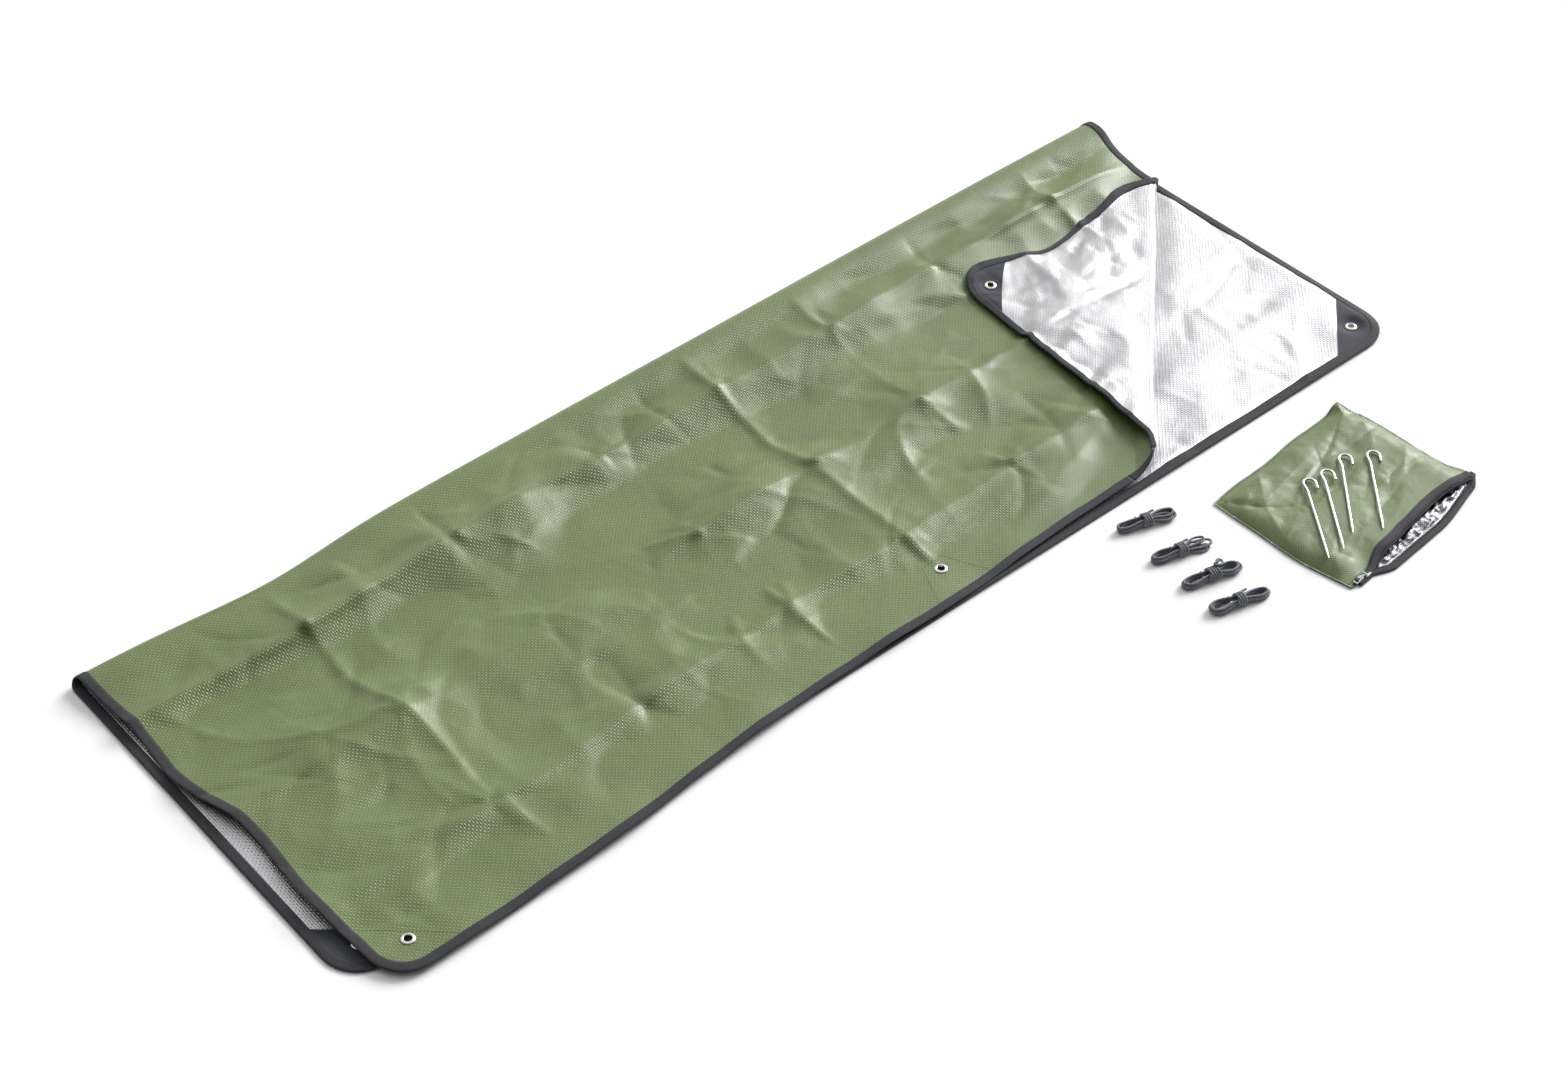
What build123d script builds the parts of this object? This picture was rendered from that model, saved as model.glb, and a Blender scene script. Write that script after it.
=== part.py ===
from build123d import *
import math
import os

# Bivy sack made from one sheet of foil-lined woven fabric folded in half lengthwise, with its own
# stuff sack, pegs and guy lines. Millimetres. The origin is the middle of the lower layer's underside:
# +X runs to the head end, +Y to the closed long fold, +Z up.

# --- sheet -----------------------------------------------------------------------------------------
SHEET_LENGTH = 2100.0        # along the fold
OPEN_EDGE_Y = -361.5         # lower layer's open long edge
FOLD_Y = 345.0               # where both layers run into the fold tube
FOLD_R = 20.0                # outer radius of the fold tube
HINGE_GAP = 0.3              # each layer stops this far short of its fold line
SHELL_T = 1.0                # woven outer fabric
FOIL_T = 0.4                 # aluminised inner film
SHEET_T = SHELL_T + FOIL_T
CORNER_R = 65.0              # rounded corners of the sheet
SHEET_Z = 13.0               # underside of the upper layer over the sleeping space

# upper layer seen from the foot end: height of its underside across the width
UPPER_PROFILE = [(-440.0, SHEET_Z), (175.0, SHEET_Z), (235.0, 25.0), (280.0, 22.0),
                 (FOLD_Y - HINGE_GAP, 2 * FOLD_R - SHEET_T)]
LOWER_PROFILE = [(-440.0, 0.0), (FOLD_Y - HINGE_GAP, 0.0)]

# corners of the two layers' outlines, each one past the fold line so that the edges run through it
BEYOND_FOLD = FOLD_Y + 80.0
LOWER_FOOT = (-SHEET_LENGTH / 2, OPEN_EDGE_Y)
LOWER_HEAD = (SHEET_LENGTH / 2, OPEN_EDGE_Y)
UPPER_FOOT = (-1012.0, -402.0)
UPPER_HEAD = (1010.0, -310.0)
UPPER_FOOT_FOLD_X = -1038.0
UPPER_HEAD_FOLD_X = 1070.0

# the head corner of the upper layer is folded back along this crease
CREASE_FOOT = (440.0, -350.0)
CREASE_HEAD = (1050.0, 192.0)
CREASE_Z = 22.0
CREASE_R = CREASE_Z - SHEET_Z          # outer radius of the crease's roll

# --- edge binding, patches, eyelets ----------------------------------------------------------------
BINDING_W = 15.0
BINDING_T = 0.4
EDGE_IN_BINDING = 0.5        # the sheet stops this far inside the folded tape
PATCH_T = 0.5
PATCH_LEG_X = 128.0
PATCH_LEG_Y = 145.0
MID_PATCH_HALF_W = 62.0
MID_PATCH_DEPTH = 92.0
EYELET_HOLE_R = 5.75
EYELET_FLANGE_R = 10.5
EYELET_FLANGE_T = 0.9
EYELET_BARREL_T = 0.6
EYELET_LIP_R = 7.6
EYELET_LIP_T = 0.4
WASHER_R = 10.2
WASHER_T = 0.6
FIT = 0.1                    # clearance between an eyelet's barrel and what it clamps

LOWER_EYELETS = {"lower_foot": (-1000.0, -309.0), "lower_mid": (70.0, -300.0),
                 "lower_head": (1000.0, -309.0)}
UPPER_EYELETS = {"upper_foot": (-954.0, -351.0), "upper_mid": (71.0, -296.0)}
FLAP_EYELET = (610.0, 172.0)           # where it lies with the corner folded back

# --- stuff sack ------------------------------------------------------------------------------------
SACK_CENTRE = (678.0, -566.0)
SACK_TURN = 5.0
SACK_L = 326.0
SACK_W = 244.0
SACK_H = 16.0
SACK_SLOPE = 14.0            # how far the sides lean in over their height
SACK_R = 8.0
SACK_LINING_T = 0.4
SACK_HEM = 13.0
ZIP_L = 300.0
TAPE_W = 20.0
TAPE_T = 0.8
TAPE_Z = 3.0
LOWER_TAPE_OUT = 16.0        # how far each tape stands out of the mouth
UPPER_TAPE_OUT = 9.0
COIL_W = 3.0
COIL_T = 1.8
SLIDER_L = 13.0
SLIDER_W = 11.0
SLIDER_PLATE_T = 1.2
SLIDER_GAP = 0.5             # slider plates to the zip's coil
PULL_PIN_R = 0.8
PULL_L = 25.0
PULL_W = 8.0
PULL_T = 1.2
PULL_DROP = 6.0              # the pull's tip hangs this many degrees below level
PULL_PIN_BACK = 4.0          # the pull's pin stands this far behind the slider's middle

# --- pegs and guy lines ----------------------------------------------------------------------------
PEG_R = 2.0
PEG_SHAFT = 152.0
PEG_TIP = 14.0
PEG_HOOK_R = 10.0
PEG_HOOK_END = 13.0
PEG_TIPS = [(-157.0, -87.0, 48.4), (-124.0, -91.0, 46.7), (-84.0, -79.0, 42.0), (-45.0, -108.0, 42.8)]
LIE_GAP = 0.3                # a loose piece rests this far off what is under it
HANK_L = 98.0
HANK_W = 23.0
HANK_T = 12.0
HANK_TIE_L = 19.0
HANK_TIE_PROUD = 1.5
HANKS = [(390.0, -419.0, -17.0), (382.0, -500.0, -15.5), (377.0, -568.0, -14.0), (368.5, -633.0, -16.5)]

os.makedirs("parts", exist_ok=True)


def save(name, shape):
    """Write one node as its own file."""
    export_step(shape, f"parts/{name}.step")


def polygon(points):
    return make_face(Polyline(*points, close=True))


def rounded(points, corners, radius):
    """A polygon with the named corners rounded."""
    face = polygon(points)
    near = [min(face.vertices(), key=lambda v, c=c: math.hypot(v.X - c[0], v.Y - c[1])) for c in corners]
    return fillet(near, radius)


def layer(profile, low, high, plan):
    """The band from low to high above a profile, over a plan outline."""
    ends = [(y, z + low) for y, z in profile] + [(y, z + high) for y, z in reversed(profile)]
    side = Plane((0, 0, 0), x_dir=(0, 1, 0), z_dir=(1, 0, 0)) * polygon(ends)
    band = extrude(side, amount=1200, both=True)
    return band & extrude(Pos(0, 0, -5) * plan, amount=80)


def disc(centre, radius, low, high):
    return Pos(centre[0], centre[1], (low + high) / 2) * Cylinder(radius, high - low)


def tube(centre, inner, outer, low, high):
    return disc(centre, outer, low, high) - disc(centre, inner, low - 1, high + 1)


def along(points):
    """Unit vector and length from the first point to the second."""
    (ax, ay), (bx, by) = points
    length = math.hypot(bx - ax, by - ay)
    return (bx - ax) / length, (by - ay) / length, length


CREASE_DX, CREASE_DY, CREASE_LENGTH = along([CREASE_FOOT, CREASE_HEAD])
CREASE_AXIS = Axis((CREASE_FOOT[0], CREASE_FOOT[1], CREASE_Z), (CREASE_DX, CREASE_DY, 0))


def crease_side(sign):
    """Plan of everything on one side of the crease: +1 the head corner, -1 the rest."""
    near, far = sign * HINGE_GAP, sign * 3000
    a = [(CREASE_FOOT[0] + s * CREASE_DX + t * CREASE_DY, CREASE_FOOT[1] + s * CREASE_DY - t * CREASE_DX)
         for s, t in ((-3000, near), (3000, near), (3000, far), (-3000, far))]
    return polygon(a)


def unfold(point):
    """Mirror a plan point over the crease."""
    rx, ry = point[0] - CREASE_FOOT[0], point[1] - CREASE_FOOT[1]
    s, t = rx * CREASE_DX + ry * CREASE_DY, rx * CREASE_DY - ry * CREASE_DX
    return (CREASE_FOOT[0] + s * CREASE_DX - t * CREASE_DY, CREASE_FOOT[1] + s * CREASE_DY + t * CREASE_DX)


def folded(shape):
    """Turn a piece of the head corner from lying flat to lying folded back."""
    return shape.rotate(CREASE_AXIS, 180)


def eyelet(name, centre, face, inward, turn=None):
    """Eyelet from the outer face, and its washer on the patch. inward is +1 where the inside is up."""
    def at(radius_in, radius_out, start, end):
        low, high = sorted((face + inward * start, face + inward * end))
        return tube(centre, radius_in, radius_out, low, high)
    washer_start = SHEET_T + PATCH_T
    washer_end = washer_start + WASHER_T
    barrel_r = EYELET_HOLE_R + EYELET_BARREL_T
    body = at(EYELET_HOLE_R, EYELET_FLANGE_R, 0, EYELET_FLANGE_T)
    body += at(EYELET_HOLE_R, barrel_r, 0, washer_end + EYELET_LIP_T)
    body += at(EYELET_HOLE_R, EYELET_LIP_R, washer_end, washer_end + EYELET_LIP_T)
    washer = at(barrel_r + FIT, WASHER_R, washer_start, washer_end)
    for part, shape in ((f"{name}_eyelet", body), (f"{name}_washer", washer)):
        save(part, turn(shape) if turn else shape)


def eyelet_holes(centres, face, inward):
    """What a panel loses to its eyelets: the flange's seat in the shell, the barrel's hole beyond it."""
    seat_low, seat_high = sorted((face - inward, face + inward * SHELL_T))
    barrel_r = EYELET_HOLE_R + EYELET_BARREL_T + FIT
    return [disc(c, EYELET_FLANGE_R + FIT, seat_low, seat_high) for c in centres] + \
           [disc(c, barrel_r, face - 6, face + 6) for c in centres]


def outline(foot, head, foot_fold_x, head_fold_x, corners):
    return rounded([(foot_fold_x, BEYOND_FOLD), foot, head, (head_fold_x, BEYOND_FOLD)], corners, CORNER_R)


def split_plan(whole, keep):
    """The sheet itself and its bound edge, within a region."""
    sheet = offset(whole, amount=-EDGE_IN_BINDING) & keep
    edge = (whole - offset(whole, amount=-BINDING_W)) & keep
    return sheet, edge


def corner_triangle(corner, x_sign, y_sign=1):
    """A corner patch before it is trimmed to the binding."""
    x, y = corner
    over = 60.0
    return polygon([(x - x_sign * PATCH_LEG_X, y), (x - x_sign * PATCH_LEG_X, y - y_sign * over),
                    (x + x_sign * over, y - y_sign * over), (x + x_sign * over, y + y_sign * PATCH_LEG_Y),
                    (x, y + y_sign * PATCH_LEG_Y)])


def mid_patch(x, edge_y):
    return polygon([(x - MID_PATCH_HALF_W, edge_y), (x - MID_PATCH_HALF_W / 2, edge_y + MID_PATCH_DEPTH * 0.6),
                    (x, edge_y + MID_PATCH_DEPTH), (x + MID_PATCH_HALF_W / 2, edge_y + MID_PATCH_DEPTH * 0.6),
                    (x + MID_PATCH_HALF_W, edge_y)])


def layer_set(name, profile, whole, keep, green, inward, patches, eyelets, turn=None):
    """One layer of the bivy: shell, lining, binding and patches, with the eyelets' holes cut.

    green is the height of the shell's outer face above the profile, inward +1 where the lining is up.
    """
    sheet, edge = split_plan(whole, keep)
    inner_plan = offset(whole, amount=-BINDING_W)

    def band(start, end, plan):
        low, high = sorted((green + inward * start, green + inward * end))
        return layer(profile, low, high, plan)
    flush = BINDING_T if inward > 0 else 0.0      # the lower layer's tape is let in, to lie on the ground
    proud = BINDING_T if inward < 0 else 0.0
    shell = band(0, SHELL_T, sheet)
    if flush:
        shell -= band(-1, flush, edge)
    lining = band(SHELL_T, SHEET_T, sheet)
    binding = band(-proud, SHEET_T + BINDING_T, edge) - band(flush, SHEET_T, sheet)
    face = profile[0][1] + green
    holes = eyelet_holes(eyelets.values(), face, inward)
    pieces = {f"{name}_shell": shell, f"{name}_lining": lining, f"{name}_binding": binding}
    for patch, plan in patches.items():
        pieces[patch] = band(SHEET_T, SHEET_T + PATCH_T, plan & inner_plan & keep)
    for part, shape in pieces.items():
        if not part.endswith("_binding"):
            for hole in holes:
                shape -= hole
        save(part, turn(shape) if turn else shape)
    for part, centre in eyelets.items():
        eyelet(part, centre, face, inward, turn)


def bivy_layers():
    below_fold = Pos(0, FOLD_Y - HINGE_GAP - 500) * Rectangle(3000, 1000)
    lower = outline(LOWER_FOOT, LOWER_HEAD, LOWER_FOOT[0], LOWER_HEAD[0], [LOWER_FOOT, LOWER_HEAD])
    layer_set("lower", LOWER_PROFILE, lower, below_fold, 0.0, 1,
              {"lower_foot_patch": corner_triangle(LOWER_FOOT, -1),
               "lower_head_patch": corner_triangle(LOWER_HEAD, 1),
               "lower_mid_patch": mid_patch(LOWER_EYELETS["lower_mid"][0], OPEN_EDGE_Y)}, LOWER_EYELETS)
    upper = outline(UPPER_FOOT, UPPER_HEAD, UPPER_FOOT_FOLD_X, UPPER_HEAD_FOLD_X, [UPPER_FOOT, UPPER_HEAD])
    slope = (UPPER_HEAD[1] - UPPER_FOOT[1]) / (UPPER_HEAD[0] - UPPER_FOOT[0])
    mid_x = UPPER_EYELETS["upper_mid"][0]
    mid_edge_y = UPPER_FOOT[1] + slope * (mid_x - UPPER_FOOT[0])
    layer_set("upper", UPPER_PROFILE, upper, crease_side(-1) & below_fold, SHEET_T, -1,
              {"upper_foot_patch": corner_triangle(UPPER_FOOT, -1),
               "upper_mid_patch": mid_patch(mid_x, mid_edge_y)}, UPPER_EYELETS)
    layer_set("flap", [(-440.0, SHEET_Z), (400.0, SHEET_Z)], upper, crease_side(1), SHEET_T, -1,
              {"flap_patch": corner_triangle(UPPER_HEAD, 1)}, {"flap": unfold(FLAP_EYELET)}, folded)


def half_tube(inner, outer, length):
    """Half a tube standing on +Y, along +X from the origin."""
    ring = Circle(outer) - Circle(inner)
    half = ring & (Pos(outer, 0) * Rectangle(2 * outer, 3 * outer))
    return extrude(Plane((0, 0, 0), x_dir=(0, 1, 0), z_dir=(1, 0, 0)) * half, amount=length)


def bend_set(name, length, place, shell, foil, tape):
    """Shell, lining and the two bound ends of a strip bent into half a tube. Each is a radius pair."""
    ends = [0.0, length - BINDING_W]
    both_low, both_high = min(shell[0], foil[0]), max(shell[1], foil[1])
    trimmed = max(shell[1], foil[1]) > tape[1] - BINDING_T / 2
    if trimmed:                                   # the tape is let in flush with the outer face
        both_high = tape[1] - BINDING_T
    tapes = [Pos(x, 0, 0) * (half_tube(tape[0], tape[1], BINDING_W) - half_tube(both_low, both_high, BINDING_W))
             for x in ends]
    body = half_tube(shell[0], shell[1], length)
    lining = half_tube(foil[0], foil[1], length)
    if trimmed:
        for x in ends:
            body -= Pos(x - 1, 0, 0) * half_tube(both_high, tape[1] + 1, BINDING_W + 1)
    save(f"{name}_shell", place * body)
    save(f"{name}_lining", place * lining)
    save(f"{name}_binding", place * Compound(children=tapes))


def bends():
    length = SHEET_LENGTH - 4.0
    place = Pos(-length / 2 + 3.0, FOLD_Y, FOLD_R)
    bend_set("fold", length, place, (FOLD_R - SHELL_T, FOLD_R), (FOLD_R - SHEET_T, FOLD_R - SHELL_T),
             (FOLD_R - SHEET_T - BINDING_T, FOLD_R))
    start, stop = 22.0, CREASE_LENGTH - 14.0
    head_side = Location((CREASE_FOOT[0] + start * CREASE_DX, CREASE_FOOT[1] + start * CREASE_DY, CREASE_Z),
                         (0, 0, math.degrees(math.atan2(CREASE_DY, CREASE_DX))))
    # turned end for end about its own length, so that the roll stands on the head corner's side
    place = head_side * Location((0, 0, 0), (180, 0, 0))
    bend_set("crease", stop - start, place, (CREASE_R - SHEET_T, CREASE_R - FOIL_T),
             (CREASE_R - FOIL_T, CREASE_R), (CREASE_R - SHEET_T - BINDING_T, CREASE_R + BINDING_T))


SACK_PLACE = Location((SACK_CENTRE[0], SACK_CENTRE[1], 0), (0, 0, SACK_TURN))
MOUTH_V = -SACK_W / 2


def sack_block(shrink, base, height):
    """The sack's outer form, or a smaller one inside it: sides lean in towards a flat top."""
    low = Pos(0, 0, base) * RectangleRounded(SACK_L - 2 * shrink, SACK_W - 2 * shrink, SACK_R)
    inset = 2 * SACK_SLOPE * (height - base) / SACK_H
    top = Pos(0, 0, height) * RectangleRounded(SACK_L - 2 * shrink - inset, SACK_W - 2 * shrink - inset, SACK_R)
    return loft([low, top])


def stuff_sack():
    mouth_cut = Pos(0, MOUTH_V - 50 + SACK_SLOPE + 2, 0) * Box(ZIP_L, 100, 80)
    lower = extrude(RectangleRounded(SACK_L, SACK_W, SACK_R), amount=SHELL_T)
    lower += Pos(0, MOUTH_V + SACK_HEM / 2, TAPE_Z / 2) * Box(ZIP_L - 6, SACK_HEM, TAPE_Z)
    outer = sack_block(0, SHELL_T, SACK_H)
    middle = sack_block(SHELL_T, SHELL_T, SACK_H - SHELL_T)
    inner = sack_block(SHELL_T + SACK_LINING_T, SHELL_T, SACK_H - SHELL_T - SACK_LINING_T)
    upper = outer - middle - mouth_cut
    upper_lining = middle - inner - mouth_cut
    lining_w = SACK_W - SACK_HEM - 12.0
    lower_lining = Pos(0, (SACK_W - lining_w) / 2 - 6.0, SHELL_T) * \
        extrude(RectangleRounded(SACK_L - 12, lining_w, SACK_R), amount=SACK_LINING_T)
    for name, shape in (("sack_lower", lower), ("sack_upper", upper),
                        ("sack_lower_lining", lower_lining - upper - upper_lining),
                        ("sack_upper_lining", upper_lining)):
        save(name, SACK_PLACE * shape)


def strip(front, width, low, thickness, length):
    """A straight strip along the mouth, from its front edge back."""
    return Pos(0, front + width / 2, low + thickness / 2) * Box(length, width, thickness)


COIL_FRONT = MOUTH_V - LOWER_TAPE_OUT - COIL_W
COIL_LOW = TAPE_Z + TAPE_T / 2 - COIL_T / 2
UPPER_TAPE_Z = SACK_H - SHELL_T - SACK_LINING_T - TAPE_T


def zip_parts():
    upper_front = MOUTH_V - UPPER_TAPE_OUT + SACK_SLOPE
    for name, front, low in (("sack_lower", MOUTH_V - LOWER_TAPE_OUT, TAPE_Z),
                             ("sack_upper", upper_front, UPPER_TAPE_Z)):
        save(f"{name}_zip_tape", SACK_PLACE * strip(front, TAPE_W, low, TAPE_T, ZIP_L - 10))
        coil_low = low + TAPE_T / 2 - COIL_T / 2
        save(f"{name}_zip_coil", SACK_PLACE * strip(front - COIL_W, COIL_W, coil_low, COIL_T, ZIP_L - 14))
    stop_x = (ZIP_L - 10) / 2 - 3.5
    stops = [Pos(x, COIL_FRONT + COIL_W + 1.5, TAPE_Z + TAPE_T + 0.5) * Box(3, 2.4, 1.0) for x in (-stop_x, stop_x)]
    save("zip_stops", SACK_PLACE * Compound(children=stops))


SLIDER_START_X = -(ZIP_L - 14) / 2 + 10.0


def slider():
    """Two plates round the lower coil, joined in front of it, with a pin for the pull on top."""
    bottom = COIL_LOW - SLIDER_GAP - SLIDER_PLATE_T
    top = COIL_LOW + COIL_T + SLIDER_GAP
    back = COIL_FRONT + COIL_W + 2.2
    centre_y = back - SLIDER_W / 2
    plates = [Pos(0, centre_y, low + SLIDER_PLATE_T / 2) * Box(SLIDER_L, SLIDER_W, SLIDER_PLATE_T)
              for low in (bottom, top)]
    post = Pos(0, centre_y - SLIDER_W / 2 + 1.2, (bottom + top) / 2 + SLIDER_PLATE_T / 2) * \
        Box(SLIDER_L * 0.6, 2.4, top - bottom)
    pin_z = top + SLIDER_PLATE_T + 1.9
    pin_x = -PULL_PIN_BACK
    ears = [Pos(pin_x, centre_y + s * 3.6, (top + SLIDER_PLATE_T + pin_z + 1.1) / 2) *
            Box(3.2, 1.2, pin_z + 1.1 - top - SLIDER_PLATE_T) for s in (-1, 1)]
    pin = Pos(pin_x, centre_y, pin_z) * Rot(90, 0, 0) * Cylinder(PULL_PIN_R, 7.0)
    body = plates[0] + plates[1] + post + ears[0] + ears[1] + pin
    place = SACK_PLACE * Pos(SLIDER_START_X, 0, 0)
    save("zip_slider", place * body)

    eye_r = PULL_PIN_R + 0.3
    neck = Pos(-PULL_L * 0.2, 0, 0) * Box(PULL_L * 0.4, 4.4, PULL_T)
    tab = Pos(-PULL_L * 0.65, 0, 0) * Box(PULL_L * 0.7, PULL_W, PULL_T)
    eye = Rot(90, 0, 0) * Cylinder(eye_r + 0.7, 4.4)
    hole = Rot(90, 0, 0) * Cylinder(eye_r, 20)
    slot = Pos(-PULL_L * 0.75, 0, 0) * Box(PULL_L * 0.3, PULL_W * 0.45, 10)
    pull = neck + tab + eye - hole - slot
    pull = Pos(pin_x, centre_y, pin_z) * Rot(0, -PULL_DROP, 0) * pull
    save("zip_pull", place * pull)
    middle = place * Pos(pin_x, centre_y, pin_z)
    print("zip pull's hinge, mm:", [round(c, 2) for c in tuple(middle.position)])


def peg(number, tip_x, tip_y, turn):
    """A hook peg: straight shaft with a ground point, bent over at the top."""
    height = SACK_H + LIE_GAP + PEG_R
    r = PEG_HOOK_R
    with BuildLine() as wire:
        Line((PEG_TIP, 0), (PEG_SHAFT, 0))
        Line((PEG_SHAFT, 0), (PEG_SHAFT + 16, 3.0))
        JernArc(start=(PEG_SHAFT + 16, 3.0), tangent=(16, 3.0), radius=r, arc_size=-190)
        end = wire.edges()[-1] @ 1
        way = wire.edges()[-1] % 1
        Line(end, end + way * PEG_HOOK_END)
    path = Wire(wire.edges())
    rod = sweep(Plane(path @ 0, z_dir=path % 0) * Circle(PEG_R), path=path, transition=Transition.ROUND)
    point = Pos(PEG_TIP / 2, 0, 0) * Rot(0, 90, 0) * Cone(0.7, PEG_R, PEG_TIP)
    place = SACK_PLACE * Location((tip_x, tip_y, height), (0, 0, turn))
    save(f"peg_{number}", place * (rod + point))


def hank(number, x, y, turn):
    """A guy line wound into a hank and tied round its middle: its outer shape."""
    body = fillet(Box(HANK_L, HANK_W, HANK_T).edges(), HANK_T * 0.38)
    tie_w, tie_t = HANK_W + 2 * HANK_TIE_PROUD, HANK_T + HANK_TIE_PROUD
    tie = Pos(0, 0, HANK_TIE_PROUD / 2) * fillet(Box(HANK_TIE_L, tie_w, tie_t).edges(), HANK_T * 0.3)
    save(f"guy_line_{number}", Location((x, y, HANK_T / 2 + LIE_GAP), (0, 0, turn)) * (body + tie))


bivy_layers()
bends()
stuff_sack()
zip_parts()
slider()
for index, values in enumerate(PEG_TIPS, 1):
    peg(index, *values)
for index, values in enumerate(HANKS, 1):
    hank(index, *values)
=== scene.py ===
import math
import random

import bmesh
import bpy
import numpy as np
from mathutils import Matrix, Vector
from mathutils.geometry import delaunay_2d_cdt


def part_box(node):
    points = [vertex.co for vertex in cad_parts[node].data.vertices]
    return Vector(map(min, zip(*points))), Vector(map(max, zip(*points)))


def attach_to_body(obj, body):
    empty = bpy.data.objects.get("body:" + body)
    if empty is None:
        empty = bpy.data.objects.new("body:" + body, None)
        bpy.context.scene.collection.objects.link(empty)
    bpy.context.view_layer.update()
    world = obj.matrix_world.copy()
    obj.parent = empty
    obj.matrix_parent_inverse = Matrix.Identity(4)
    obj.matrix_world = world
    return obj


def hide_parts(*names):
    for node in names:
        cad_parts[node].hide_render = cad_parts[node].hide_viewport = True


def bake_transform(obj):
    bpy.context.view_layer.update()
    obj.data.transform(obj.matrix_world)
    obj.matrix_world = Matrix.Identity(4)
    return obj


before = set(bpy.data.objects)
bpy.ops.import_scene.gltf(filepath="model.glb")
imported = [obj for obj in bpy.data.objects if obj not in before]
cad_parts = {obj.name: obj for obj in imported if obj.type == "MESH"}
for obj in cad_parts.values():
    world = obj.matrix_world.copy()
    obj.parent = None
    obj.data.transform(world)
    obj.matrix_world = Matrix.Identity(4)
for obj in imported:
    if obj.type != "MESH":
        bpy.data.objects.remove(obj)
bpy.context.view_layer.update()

# Metres, in the part's own frame: +X to the head end, +Y to the closed long fold, +Z up. The bivy is one
# sheet, so every piece of it comes from one function, cloth_point(s, t): s runs along the sheet from the
# foot, t across it from the lower layer's open edge, round the long fold, to the upper layer's open edge.

# --- the sheet ---------------------------------------------------------------------------------------
LOWER_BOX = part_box("lower_shell")
LENGTH = round(LOWER_BOX[1].x - LOWER_BOX[0].x, 2)
FOOT_X = -LENGTH / 2
OPEN_Y = -0.3615
LOWER_T = 0.7065              # lower layer's width, up to the fold
FOLD_T = 0.0535               # cloth round the fold
UPPER_T = 0.74                # upper layer's width
T0 = LOWER_T
T1 = LOWER_T + FOLD_T
T2 = T1 + UPPER_T
CORNER_R = 0.065
GREEN_FACE = -0.0004         # the two faces' heights over the sheet's middle surface
FOIL_FACE = 0.0004
PATCH_LOW = FOIL_FACE + 0.0002
PATCH_TOP = FOIL_FACE + 0.0008
STEP = 0.0055

CREASE_T = T1 + 0.173         # where the folded corner's crease meets the head edge
CREASE_S = 1.478              # and the open edge
ROLL_R = 0.0095               # radius of the cloth's turn in the crease
ROLL_LOW = 0.0125             # and the height of its lower end
ROLL_TOP = ROLL_LOW + 2 * ROLL_R
ROLL_B = math.pi * ROLL_R
UPPER_LOW = 0.0085            # lowest the upper layer lies away from its open edge
OPEN_EDGE_Z = 0.0076          # and at that edge
UPPER_CLEAR = 0.0070          # and anywhere, clear of the lower layer
UNDER_FLAP = 0.0285           # the upper layer stays this low under the folded corner
FLAP_SOFT = 0.0335            # and the folded corner flattens out above this, so that it opens clear
GROUND = 0.0026               # height of the lower layer, so that its tape and eyelets clear the floor
RIM = 0.03                    # the relief dies out over this width at the sheet's edges
HIDDEN_RELIEF = 0.10          # share of the relief left where the upper layer hides the lower one
LOWER_SOFT = 0.0070           # the lower layer's relief stays under this
CREASE_FOOT = np.array([0.452, -0.346])     # plan of the crease's two ends, and of the folded corner's tip
CREASE_HEAD = np.array([1.045, 0.188])
FLAP_CORNER = np.array([0.570, 0.212])

# packing creases: across the cloth (t) and along it (s)
LONG_CREASES = (0.880, 1.121, 1.341)
CROSS_CREASES = (0.30, 0.58, 0.877, 1.11, 1.35, 1.61, 1.89)
LOWER_LONG = (0.157, 0.330, 0.50)
FLAP_LONG = (1.341, 1.121)
FLAP_CROSS = (1.61, 1.89)


def smooth(edge0, edge1, x):
    u = np.clip((x - edge0) / (edge1 - edge0), 0.0, 1.0)
    return u * u * (3 - 2 * u)


def bump(x, centre, width):
    return np.exp(-((x - centre) / width) ** 2)


def blend(a, b, share):
    return a * (1 - share) + b * share


def unit(v):
    return v / np.linalg.norm(v, axis=-1, keepdims=True)


def run_along(points):
    """Distance from the first point to each point of a line."""
    return np.concatenate([[0], np.cumsum(np.linalg.norm(np.diff(points, axis=0), axis=1))])


class Noise:
    """Smooth noise on a seeded lattice, about -1 to 1."""
    def __init__(self, seed, size=97):
        self.size = size
        self.grid = np.random.default_rng(seed).uniform(-1, 1, (size, size))

    def __call__(self, x, y, scale):
        u, v = np.asarray(x) / scale + 31.7, np.asarray(y) / scale + 17.3
        i, j = np.floor(u).astype(int), np.floor(v).astype(int)
        fu, fv = u - i, v - j
        fu, fv = fu * fu * (3 - 2 * fu), fv * fv * (3 - 2 * fv)
        i0, j0, n = i % self.size, j % self.size, self.size
        i1, j1, g = (i0 + 1) % n, (j0 + 1) % n, self.grid
        low = g[i0, j0] * (1 - fu) + g[i1, j0] * fu
        return low * (1 - fv) + (g[i0, j1] * (1 - fu) + g[i1, j1] * fu) * fv


NOISE = [Noise(seed) for seed in range(11, 19)]


def noise(k, x, y, scale):
    return NOISE[k % 8](x, y, scale)


def stations(values, places, y):
    """Smooth profile through heights at the given places, flat at each."""
    places, values = np.asarray(places), np.asarray(values)
    i = np.clip(np.searchsorted(places, y) - 1, 0, len(places) - 2)
    u = smooth(0, 1, np.clip((y - places[i]) / (places[i + 1] - places[i]), 0, 1))
    return values[i] * (1 - u) + values[i + 1] * u


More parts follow.
